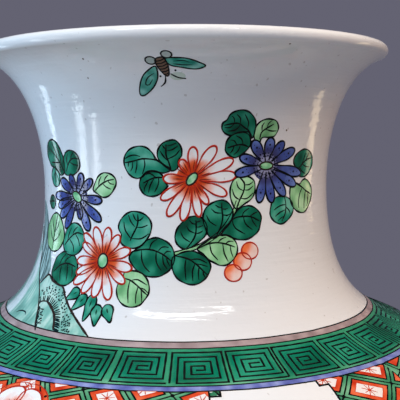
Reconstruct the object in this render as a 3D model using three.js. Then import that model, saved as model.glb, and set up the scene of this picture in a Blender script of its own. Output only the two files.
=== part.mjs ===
// A large porcelain vase with a waisted neck and a rolled lip, thrown in five sections that were luted
// together end to end, glazed and enamelled. Millimetres, +Z up. The origin is the centre of the foot, on
// the surface that the vase stands on, and every section is a solid of revolution about Z.

import * as THREE from 'three';
import { mergeVertices } from 'three/addons/utils/BufferGeometryUtils.js';

// Driving dimensions
const height = 580; // foot to the crest of the lip
const mouthRadius = 105; // widest point of the lip
const lipRadius = 3.1; // the lip is a full roll of this radius
const flareAngle = 18; // slope of the flare where it runs into the lip, degrees above level
const flareReach = 21.5; // how far that slope carries down the flare
const neckHeight = 132.5; // neck seam to the crest of the lip
const waistDrop = 70; // crest of the lip down to the neck's narrowest point
const waistRadius = 74.5; // neck at its narrowest
const waistRise = 25.5; // how far the waist stays upright above its narrowest point
const waistFall = 49.5; // and below it
const collarRadius = 112; // where the neck's hollow sweep turns into the round of the shoulder
const collarDrop = 7.8; // that place below the neck seam
const collarAngle = 21; // slope of the shoulder there, degrees below level
const collarReach = 21; // how far that slope carries up the neck
const shoulderReach = 40; // and out over the shoulder
const bellyRadius = 163; // vase at its widest
const bellyHeight = 345; // height of the widest point, where two sections meet
const bellyRise = 58; // how far the belly stays upright above its widest point
const bellyFall = 125; // and below it
const lowerSeamHeight = 190; // seam between the belly and the lower body
const ankleRadius = 84; // narrowest point above the foot
const ankleHeight = 66;
const ankleRise = 95; // how far the ankle stays upright above its narrowest point
const ankleFall = 26; // and below it
const footSeamHeight = 40; // seam between the lower body and the foot section
const footRadius = 95; // outside of the foot ring
const footFlareReach = 20; // height over which the foot's outward sweep runs
const footBevel = 2.5; // trimmed edge round the foot ring
const footRestWidth = 6.5; // flat ring that the vase stands on
const footSplay = 6; // how far the ring's inner wall leans in towards the base
const recessDepth = 12; // base above the resting ring
const recessFillet = 3;
const baseThickness = 9;
const baseFillet = 17; // sweep from the inner wall to the inner floor

// Wall thickness by height: the thrower leaves more clay low down
const wallAtFoot = 8.5;
const wallAtBelly = 7;
const wallAtCollar = 6.2;
const wallAtWaist = 5.2;

// Slip squeezed out of the seams that a hand can't reach through the neck stands as a ridge inside
const seamRidge = 1.6;
const seamRidgeHalf = 6;

// Facets
const roundSteps = 64;
const lipUnderSteps = 2;
const lipCrownSteps = 3;
const flareSteps = 7;
const sweepSteps = 8;
const shoulderSteps = 8;
const bodySteps = 11;
const footSteps = 4;
const seamClearance = 0.7; // no outline point lies nearer to a seam than this

const radians = THREE.MathUtils.degToRad;
const point = (r, z) => new THREE.Vector2(r, z);
const neckSeamHeight = height - neckHeight;
const waistHeight = height - waistDrop;

// A cubic from one point to another, leaving and arriving along the given directions
function sweep(from, leaving, reachOut, to, arriving, reachIn) {
  return new THREE.CubicBezierCurve(
    from,
    from.clone().addScaledVector(leaving, reachOut),
    to.clone().addScaledVector(arriving, -reachIn),
    to,
  );
}

// The outside, from the foot up to where the flare runs into the lip
const up = point(0, 1);
const collarDirection = point(-Math.cos(radians(collarAngle)), Math.sin(radians(collarAngle)));
const flareDirection = point(Math.cos(radians(flareAngle)), Math.sin(radians(flareAngle)));
const flareNormal = point(Math.sin(radians(flareAngle)), -Math.cos(radians(flareAngle)));
const lipCentre = point(mouthRadius - lipRadius, height - lipRadius);
const footEdge = point(footRadius, footBevel);
const ankle = point(ankleRadius, ankleHeight);
const belly = point(bellyRadius, bellyHeight);
const collar = point(collarRadius, neckSeamHeight - collarDrop);
const waist = point(waistRadius, waistHeight);
const flareEnd = lipCentre.clone().addScaledVector(flareNormal, lipRadius);
const footLean = point(-0.35, 1).normalize();

const outerCurves = [
  [sweep(footEdge, footLean, footFlareReach, ankle, up, ankleFall), footSteps],
  [sweep(ankle, up, ankleRise, belly, up, bellyFall), bodySteps],
  [sweep(belly, up, bellyRise, collar, collarDirection, shoulderReach), shoulderSteps],
  [sweep(collar, collarDirection, collarReach, waist, up, waistFall), sweepSteps],
  [sweep(waist, up, waistRise, flareEnd, flareDirection, flareReach), flareSteps],
];

// Wall thickness at a height, straight between the heights where it is known
const wallStations = [
  [0, wallAtFoot],
  [bellyHeight, wallAtBelly],
  [collar.y, wallAtCollar],
  [waistHeight, wallAtWaist],
  [flareEnd.y, 2 * lipRadius],
];
function wallAt(z) {
  const next = wallStations.findIndex(([stationHeight]) => stationHeight >= z);
  if (next <= 0) return wallStations[next < 0 ? wallStations.length - 1 : 0][1];
  const [lowHeight, lowWall] = wallStations[next - 1];
  const [highHeight, highWall] = wallStations[next];
  return THREE.MathUtils.mapLinear(z, lowHeight, highHeight, lowWall, highWall);
}

// Both faces of the wall, bottom to top. The inner one is the outer one set in by the wall's thickness.
const outer = [];
const inner = [];
outerCurves.forEach(([curve, steps], index) => {
  for (let i = index ? 1 : 0; i <= steps; i++) {
    const p = curve.getPoint(i / steps);
    const along = curve.getTangent(i / steps);
    outer.push(p);
    inner.push(p.clone().addScaledVector(point(-along.y, along.x), wallAt(p.y)));
  }
});

// Radius of a face at a height
function radiusAt(face, z) {
  const next = Math.max(1, face.findIndex((p) => p.y >= z));
  const low = face[next - 1];
  const high = face[next];
  return THREE.MathUtils.mapLinear(z, low.y, high.y, low.x, high.x);
}

// The part of a face between two heights, ending exactly on them
function between(face, low, high) {
  return [
    point(radiusAt(face, low), low),
    ...face.filter((p) => p.y > low + seamClearance && p.y < high - seamClearance),
    point(radiusAt(face, high), high),
  ];
}

// The inner face between two heights, thickened by the slip ridge at each seam given
function ridgedInner(low, high, seams) {
  const near = seams.flatMap((seam) =>
    [-1, -0.5, 0, 0.5, 1].map((share) => seam + share * seamRidgeHalf).filter((z) => z >= low && z <= high));
  const far = between(inner, low, high)
    .map((p) => p.y)
    .filter((z) => seams.every((seam) => Math.abs(z - seam) > seamRidgeHalf + seamClearance));
  const heights = [...new Set([low, high, ...near, ...far])].sort((a, b) => a - b);
  return heights.map((z) => {
    const ridge = seams.reduce((sum, seam) => {
      const share = Math.min(1, Math.abs(z - seam) / seamRidgeHalf);
      return sum + (seamRidge * (1 + Math.cos(Math.PI * share))) / 2;
    }, 0);
    return point(radiusAt(inner, z) - ridge, z);
  });
}

// A closed half section turned about Z. The half section runs anticlockwise: out along the bottom, up the
// outside and back down the inside.
function turned(halfSection) {
  const geometry = new THREE.LatheGeometry(halfSection, roundSteps).rotateX(Math.PI / 2);
  geometry.deleteAttribute('normal');
  geometry.deleteAttribute('uv');
  const merged = mergeVertices(geometry, 1e-4);
  const corners = merged.index.array;
  const kept = [];
  for (let i = 0; i < corners.length; i += 3) {
    const [a, b, c] = corners.subarray(i, i + 3);
    if (a !== b && b !== c && c !== a) kept.push(a, b, c); // on the axis every other triangle is a line
  }
  merged.setIndex(kept);
  merged.computeVertexNormals();
  return merged;
}

function tube(outerFace, innerFace) {
  return turned([...outerFace, ...innerFace.toReversed(), outerFace[0]]);
}

// The rolled lip, from the flare's underside out to the widest point and up to the crest
function lipRoll() {
  const start = radians(flareAngle) - Math.PI / 2;
  const arc = (from, to, steps) =>
    Array.from({ length: steps }, (_, i) => THREE.MathUtils.lerp(from, to, (i + 1) / steps));
  return [...arc(start, 0, lipUnderSteps), ...arc(0, Math.PI / 2, lipCrownSteps)].map((angle) =>
    point(lipCentre.x + lipRadius * Math.cos(angle), lipCentre.y + lipRadius * Math.sin(angle)));
}

function neck() {
  const outside = between(outer, neckSeamHeight, flareEnd.y);
  const inside = [
    point(radiusAt(inner, neckSeamHeight), neckSeamHeight),
    ...inner.filter((p) => p.y > neckSeamHeight + seamClearance),
  ];
  return tube([...outside, ...lipRoll()], inside);
}

function wallSection(low, high, seams) {
  return tube(between(outer, low, high), ridgedInner(low, high, seams));
}

// Foot ring, base and the start of the wall
function foot() {
  const restOuter = footRadius - footBevel;
  const restInner = restOuter - footRestWidth;
  const recessRadius = restInner - footSplay;
  const floorHeight = recessDepth + baseThickness;
  const innerWall = ridgedInner(footSeamHeight - seamRidgeHalf, footSeamHeight, [footSeamHeight]);
  const wallFoot = innerWall[0];
  const floorEdge = point(wallFoot.x - baseFillet, floorHeight);
  const floorSweep = new THREE.QuadraticBezierCurve(
    floorEdge,
    point(wallFoot.x, floorHeight),
    wallFoot,
  ).getPoints(footSteps);
  return turned([
    point(0, recessDepth),
    point(recessRadius - recessFillet, recessDepth),
    point(recessRadius - recessFillet * 0.3, recessDepth - recessFillet * 0.3),
    point(recessRadius, recessDepth - recessFillet),
    point(restInner - footBevel / 4, footBevel / 2),
    point(restInner, 0),
    point(restOuter, 0),
    ...between(outer, footBevel, footSeamHeight),
    ...[...floorSweep.slice(0, -1), ...innerWall].toReversed(),
    point(0, floorHeight),
  ]);
}

// The white glazed body, and the foot ring's bare buff biscuit
const glazed = new THREE.MeshStandardMaterial({ color: 0xe9ebec, roughness: 0.12, metalness: 0 });
const biscuit = new THREE.MeshStandardMaterial({ color: 0xd9c8ab, roughness: 0.7, metalness: 0 });

function section(name, geometry, material) {
  const mesh = new THREE.Mesh(geometry, material);
  mesh.name = name;
  return mesh;
}

const vase = new THREE.Group();
vase.add(
  section('neck', neck(), glazed),
  section('shoulder', wallSection(bellyHeight, neckSeamHeight, [bellyHeight]), glazed),
  section('belly', wallSection(lowerSeamHeight, bellyHeight, [lowerSeamHeight, bellyHeight]), glazed),
  section('lower_body', wallSection(footSeamHeight, lowerSeamHeight, [footSeamHeight, lowerSeamHeight]), glazed),
  section('foot', foot(), biscuit),
);

export default vase;
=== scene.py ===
"""A large porcelain vase, thrown in five sections, glazed white and painted all round in enamels.

A place on the glaze is a pair (angle, length): degrees round the vase from -Y towards +X, and millimetres
up the outline from the edge of the foot. Shapes on the neck were set out by angle and height.
"""

import math
import random
from bisect import bisect_right

import bpy
from bpy.props import FloatProperty, FloatVectorProperty, IntProperty, PointerProperty
from mathutils import Matrix, Vector, noise


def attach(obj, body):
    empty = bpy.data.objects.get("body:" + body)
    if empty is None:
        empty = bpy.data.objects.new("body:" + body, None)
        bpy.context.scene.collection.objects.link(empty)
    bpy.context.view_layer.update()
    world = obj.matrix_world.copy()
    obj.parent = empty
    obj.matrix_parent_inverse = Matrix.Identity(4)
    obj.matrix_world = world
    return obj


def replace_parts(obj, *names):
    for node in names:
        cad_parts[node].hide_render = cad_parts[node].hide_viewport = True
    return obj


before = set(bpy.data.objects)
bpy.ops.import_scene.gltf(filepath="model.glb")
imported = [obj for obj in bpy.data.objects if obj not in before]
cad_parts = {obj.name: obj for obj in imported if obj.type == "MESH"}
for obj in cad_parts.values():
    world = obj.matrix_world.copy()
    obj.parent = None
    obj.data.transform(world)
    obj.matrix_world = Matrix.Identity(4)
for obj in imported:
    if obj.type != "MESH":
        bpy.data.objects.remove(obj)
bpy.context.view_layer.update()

bl_info = {
    "name": "Enamelled Porcelain Vase",
    "version": (1, 0, 0),
    "blender": (4, 5, 0),
    "location": "View3D > Sidebar > Vase",
    "description": "Glazes and paints the vase and sets its studio",
    "category": "Object",
}

BODY = "root"
MM = 0.001

# The outline, in millimetres, with the sizes that the solids have
HEIGHT = 580
MOUTH_RADIUS = 105
LIP_RADIUS = 3.1
FLARE_ANGLE = 18
FLARE_REACH = 21.5
NECK_SEAM = 447.5
WAIST = (74.5, 510)
WAIST_RISE = 25.5
WAIST_FALL = 49.5
COLLAR = (112, 439.7)
COLLAR_ANGLE = 21
COLLAR_REACH = 21
SHOULDER_REACH = 40
BELLY = (163, 345)
BELLY_RISE = 58
BELLY_FALL = 125
LOWER_SEAM = 190
ANKLE = (84, 66)
ANKLE_RISE = 95
ANKLE_FALL = 26
FOOT_SEAM = 40
FOOT_RADIUS = 95
FOOT_FLARE_REACH = 20
FOOT_BEVEL = 2.5
FOOT_REST = 6.5
FOOT_SPLAY = 6
RECESS_DEPTH = 12
RECESS_FILLET = 3
BASE_THICKNESS = 9
BASE_FILLET = 17
WALLS = ((0, 8.5), (BELLY[1], 7), (COLLAR[1], 6.2), (WAIST[1], 5.2), (HEIGHT, 2 * LIP_RADIUS))
SEAM_RIDGE = 1.6
SEAM_RIDGE_HALF = 6

# How finely the porcelain is turned
ROUND = 288
RISE_STEP = 2.0

# Thickness of the enamels, millimetres above the glaze
BEDDED = -0.03
LINE_BASE = 0.15


def at_angle(degrees):
    turn = math.radians(degrees)
    return Vector((math.cos(turn), math.sin(turn)))


def sweep(start, leaving, reach_out, end, arriving, reach_in):
    """A cubic from one place to another, leaving and arriving along the given directions."""
    start, end = Vector(start), Vector(end)
    return start, start + reach_out * leaving, end - reach_in * arriving, end


def along(curve, share):
    a, b, c, d = curve
    left = 1 - share
    return left**3 * a + 3 * left**2 * share * b + 3 * left * share**2 * c + share**3 * d


UP = Vector((0, 1))
LIP_CENTRE = Vector((MOUTH_RADIUS - LIP_RADIUS, HEIGHT - LIP_RADIUS))
FLARE_END = LIP_CENTRE + LIP_RADIUS * at_angle(FLARE_ANGLE - 90)
COLLAR_DIRECTION = at_angle(180 - COLLAR_ANGLE)
FOOT_LEAN = Vector((-0.35, 1)).normalized()
CURVES = (
    sweep((FOOT_RADIUS, FOOT_BEVEL), FOOT_LEAN, FOOT_FLARE_REACH, ANKLE, UP, ANKLE_FALL),
    sweep(ANKLE, UP, ANKLE_RISE, BELLY, UP, BELLY_FALL),
    sweep(BELLY, UP, BELLY_RISE, COLLAR, COLLAR_DIRECTION, SHOULDER_REACH),
    sweep(COLLAR, COLLAR_DIRECTION, COLLAR_REACH, WAIST, UP, WAIST_FALL),
    sweep(WAIST, UP, WAIST_RISE, FLARE_END, at_angle(FLARE_ANGLE), FLARE_REACH),
)
CURVE_STEPS = 320
LIP_STEPS = 60


class Line:
    """One face of the wall in section, known by the length along it from its lower end."""

    def __init__(self, places, side):
        self.places = places
        last = len(places) - 1
        headings = [
            (places[min(i + 1, last)] - places[max(i - 1, 0)]).normalized() for i in range(len(places))]
        self.outward = [side * Vector((heading.y, -heading.x)) for heading in headings]
        self.lengths = [0.0]
        for before, after in zip(places, places[1:]):
            self.lengths.append(self.lengths[-1] + (after - before).length)
        top = max(range(len(places)), key=lambda i: places[i].y)
        self.heights = [place.y for place in places[: top + 1]]

    def between(self, marks, value):
        index = min(max(bisect_right(marks, value), 1), len(marks) - 1)
        low, high = marks[index - 1], marks[index]
        return index, (value - low) / (high - low)

    def at(self, length):
        """Place and outward direction at a length."""
        index, share = self.between(self.lengths, length)
        place = self.places[index - 1].lerp(self.places[index], share)
        return place, self.outward[index - 1].lerp(self.outward[index], share)

    def length_at(self, height):
        index, share = self.between(self.heights, height)
        return self.lengths[index - 1] + share * (self.lengths[index] - self.lengths[index - 1])

    def run(self, low, high):
        """Places and outward directions from one length to another, a step apart."""
        steps = max(1, round(abs(high - low) / RISE_STEP))
        return [self.at(low + (high - low) * i / steps) for i in range(steps + 1)]


def wall_at(height):
    for (low, low_wall), (high, high_wall) in zip(WALLS, WALLS[1:]):
        if height <= high:
            return low_wall + (high_wall - low_wall) * (height - low) / (high - low)
    return WALLS[-1][1]


def ridge_at(height):
    """The slip that stands inside at the seams that a hand can't reach."""
    ridge = 0
    for seam in (FOOT_SEAM, LOWER_SEAM, BELLY[1]):
        share = min(1, abs(height - seam) / SEAM_RIDGE_HALF)
        ridge += SEAM_RIDGE * (1 + math.cos(math.pi * share)) / 2
    return ridge


def outer_line():
    places = [along(curve, i / CURVE_STEPS) for curve in CURVES for i in range(CURVE_STEPS)] + [FLARE_END]
    start, end = FLARE_ANGLE - 90, FLARE_ANGLE + 90
    for i in range(1, LIP_STEPS + 1):
        places.append(LIP_CENTRE + LIP_RADIUS * at_angle(start + (end - start) * i / LIP_STEPS))
    return Line(places, 1)


def inner_line(outer):
    places = []
    for place, outward in zip(outer.places, outer.outward):
        inner = place - wall_at(place.y) * outward
        inner.x -= ridge_at(inner.y)
        places.append(inner)
        if place == FLARE_END:
            break
    return Line(places, -1)


outside = outer_line()
inside = inner_line(outside)
CREST = outside.length_at(HEIGHT - 0.001)


def on_glaze(place, lift=0.0):
    """The point in space over a place on the glaze, in metres."""
    section, outward = outside.at(place[1])
    turn = math.radians(place[0])
    reach = (section.x + lift * outward.x) * MM
    return Vector((reach * math.sin(turn), -reach * math.cos(turn), (section.y + lift * outward.y) * MM))


def upright(place):
    """The direction straight out of the glaze."""
    outward = outside.at(place[1])[1]
    turn = math.radians(place[0])
    return Vector((outward.x * math.sin(turn), -outward.x * math.cos(turn), outward.y))


def span(a, b):
    """Millimetres between two places on the glaze."""
    return math.hypot(math.radians(b[0] - a[0]) * outside.at((a[1] + b[1]) / 2)[0].x, b[1] - a[1])


def neck(points):
    """Places from angles and heights."""
    return [(angle, outside.length_at(height)) for angle, height in points]


def part_way(a, b, share):
    """The pair a share of the way from one pair to another."""
    return a[0] + (b[0] - a[0]) * share, a[1] + (b[1] - a[1]) * share


def smooth(places, step, closed=False):
    """Places a step apart on the curve through the given ones."""
    count = len(places)
    result = []
    for i in range(count if closed else count - 1):
        if closed:
            a, b, c, d = (places[(i + k) % count] for k in (-1, 0, 1, 2))
        else:
            a, b, c, d = (places[min(max(i + k, 0), count - 1)] for k in (-1, 0, 1, 2))
        parts = max(1, math.ceil(span(b, c) / step))
        for k in range(parts):
            t = k / parts
            weights = (
                (-t + 2 * t * t - t**3) / 2, (2 - 5 * t * t + 3 * t**3) / 2,
                (t + 4 * t * t - 3 * t**3) / 2, (t**3 - t * t) / 2)
            result.append(tuple(sum(w * p[axis] for w, p in zip(weights, (a, b, c, d))) for axis in (0, 1)))
    if not closed:
        result.append(tuple(places[-1]))
    return result


def straight(places, step, closed=False):
    """Places at most a step apart on the straight lines that join the given ones."""
    result = []
    ends = places[1:] + ([places[0]] if closed else [])
    for a, b in zip(places, ends):
        parts = max(1, math.ceil(span(a, b) / step))
        result += [part_way(a, b, k / parts) for k in range(parts)]
    return result if closed else result + [tuple(places[-1])]


def clockwise(outline):
    """Whether an outline runs clockwise, seen from outside the vase."""
    return sum(a[0] * b[1] - b[0] * a[1] for a, b in zip(outline, outline[1:] + outline[:1])) < 0


class Spot:
    """Flat millimetres about a place on the glaze: x to the right and y up the outline, both turned."""

    def __init__(self, place, turn=0.0):
        self.angle, self.length = place
        self.cos, self.sin = math.cos(math.radians(turn)), math.sin(math.radians(turn))
        self.per_degree = math.radians(outside.at(self.length)[0].x)

    def place(self, x, y):
        across, upward = x * self.cos - y * self.sin, x * self.sin + y * self.cos
        return self.angle + across / self.per_degree, self.length + upward

    def flat(self, place):
        """The flat millimetres of a place, for a spot that isn't turned."""
        return Vector(((place[0] - self.angle) * self.per_degree, place[1] - self.length))

    def around(self, turn, reach):
        """The place at a reach in a direction, in radians from the right."""
        return self.place(reach * math.cos(turn), reach * math.sin(turn))

    def oval(self, wide, high, count):
        """Places evenly round an oval of two half widths."""
        turns = [math.tau * k / count for k in range(count)]
        return [self.place(wide * math.cos(turn), high * math.sin(turn)) for turn in turns]


def hue(red, green, blue):
    """A colour as light, from the values of 0 to 255 that a screen shows."""
    shares = [value / 255 for value in (red, green, blue)]
    return tuple(share / 12.92 if share <= 0.04 else ((share + 0.055) / 1.055) ** 2.4 for share in shares)


def blend(a, b, share):
    share = min(max(share, 0), 1)
    return tuple(x + (y - x) * share for x, y in zip(a, b))


def ease(low, high, value):
    share = min(max((value - low) / (high - low), 0), 1)
    return share * share * (3 - 2 * share)


# Enamels
INK = hue(3, 6, 6)
BROWN_INK = hue(46, 34, 30)
ROCK_INK = hue(4, 34, 36)
BARK_COLOURS = (hue(66, 48, 42), hue(112, 88, 74), hue(160, 138, 120))
PLUM_COLOURS = (hue(84, 40, 74), hue(136, 86, 124), hue(188, 152, 180))
GOLD_COLOURS = (hue(178, 112, 16), hue(226, 172, 56), hue(244, 214, 126))
COBALT_DEEP = hue(24, 28, 98)
COBALT_MID = hue(38, 64, 146)
COBALT_LIGHT = hue(112, 140, 210)
IRON_DEEP = hue(200, 56, 10)
IRON_MID = hue(238, 116, 62)
IRON_LINE = hue(180, 40, 18)
IRON_DARK = hue(104, 18, 6)
IRON_PALE = hue(246, 178, 148)
TURQUOISE = hue(128, 190, 172)
TURQUOISE_PALE = hue(192, 224, 208)
TURQUOISE_DEEP = hue(52, 122, 108)
# Painted highlight and painted shade on the rock
ROCK_SHEEN = hue(225, 237, 237)
ROCK_SHADOW = hue(70, 112, 108)
COLUMN_COLOURS = (hue(34, 78, 76), hue(176, 214, 210))
STIPPLED = hue(150, 152, 186)
COBALT_DOT = hue(10, 12, 44)
PIP_COLOURS = (hue(84, 168, 108), hue(132, 202, 146), hue(188, 226, 186))
PANEL_WHITE = hue(232, 233, 232)
LILAC_COLOURS = (hue(134, 110, 110), hue(166, 142, 142), hue(190, 168, 166))
MARGIN_COLOUR = hue(66, 156, 114)
MARGIN_PALE = hue(128, 190, 152)
GROUND_COLOURS = (hue(0, 92, 66), hue(8, 124, 94), hue(46, 152, 118))
BAND_BLUES = (hue(60, 72, 156), hue(100, 114, 188), hue(144, 156, 208))
STRIP_COLOURS = (hue(30, 112, 76), hue(78, 152, 110), hue(124, 184, 144))
FRAME_COLOURS = (hue(188, 46, 14), hue(218, 76, 36), hue(230, 110, 70))
WING_COLOURS = (hue(20, 110, 92), hue(64, 158, 138), hue(138, 200, 186))
BEE_BROWN = hue(112, 84, 68)
EYE_COLOUR = hue(150, 168, 158)
SMUDGE_COLOUR = hue(150, 190, 140)
SPECK_COLOUR = hue(96, 78, 62)


# The painting. Bands are given by their distance below the neck band's upper edge, in millimetres
BAND_TOP_HEIGHT = 448.41
BAND_TOP = outside.length_at(BAND_TOP_HEIGHT)
LILAC_LOW = 3.5
FRET_HIGH = 5.8
FRET_LOW = 24.3
BLUE_HIGH = 26.0
BLUE_LOW = 29.0
BORDER_LOW = 70.0
LOWER_BLUE_LOW = 73.0
LINE = 0.8
FINE_LINE = 0.66

# Each fret spiral's left and right edge in degrees, and the ones that start from the right
FRET_FRONT = (
    (-53.0, -41.9), (-40.3, -29.0), (-27.9, -17.3), (-15.5, -5.0), (-3.6, 8.0),
    (9.0, 19.8), (20.6, 33.0), (34.4, 45.0), (46.6, 57.5))
FRET_TURNED = (3, 5, 12, 19, 26)
FRET_GAP = 1.3
FRET_GAPS = [(a[1] + b[0]) / 2 for a, b in zip(FRET_FRONT, FRET_FRONT[1:])]

# The white panels: middles and half widths in degrees, and the height of their notched corners
PANEL_CENTRES = (15.6, 105.6, 195.6, 285.6)
PANEL_HALF = 11.8
PANEL_NECK = 9.7
PANEL_STEP = 3.0

# The trellis at each side of a panel: degrees from the panel and distance below the neck band of one
# crossing, and the two edges of a cell. The two meet at a share of the way to the next panel
TRELLIS_RIGHT = (17.4, 29.5), (-4.5, -10), (8, -10)
TRELLIS_LEFT = (-35.4, 30.4), (-6.5, -5.9), (4.0, -12.5)
TRELLIS_JOIN = 0.32
TRELLIS_REACH = 24
STRIP_HALF = 1.95
FRAME_WIDTH = 2.1

# The shoulder's flower heads: degrees from a panel, petals, and reach and width of both rings of petals
BORDER_HEAD_ANGLE = -46.8
BORDER_PETALS = 6
BORDER_FRONT_PETAL = (16.6, 13.2)
BORDER_BACK_PETAL = (18.8, 18.0)

DARK, LIGHT, JADE = "dark", "light", "jade"
LEAF_COLOURS = {
    DARK: (hue(0, 66, 46), hue(10, 108, 80), hue(56, 156, 126)),
    LIGHT: (hue(96, 158, 104), hue(144, 202, 146), hue(186, 230, 182)),
    JADE: (hue(0, 104, 80), hue(40, 144, 116), hue(112, 190, 166)),
}

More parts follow.
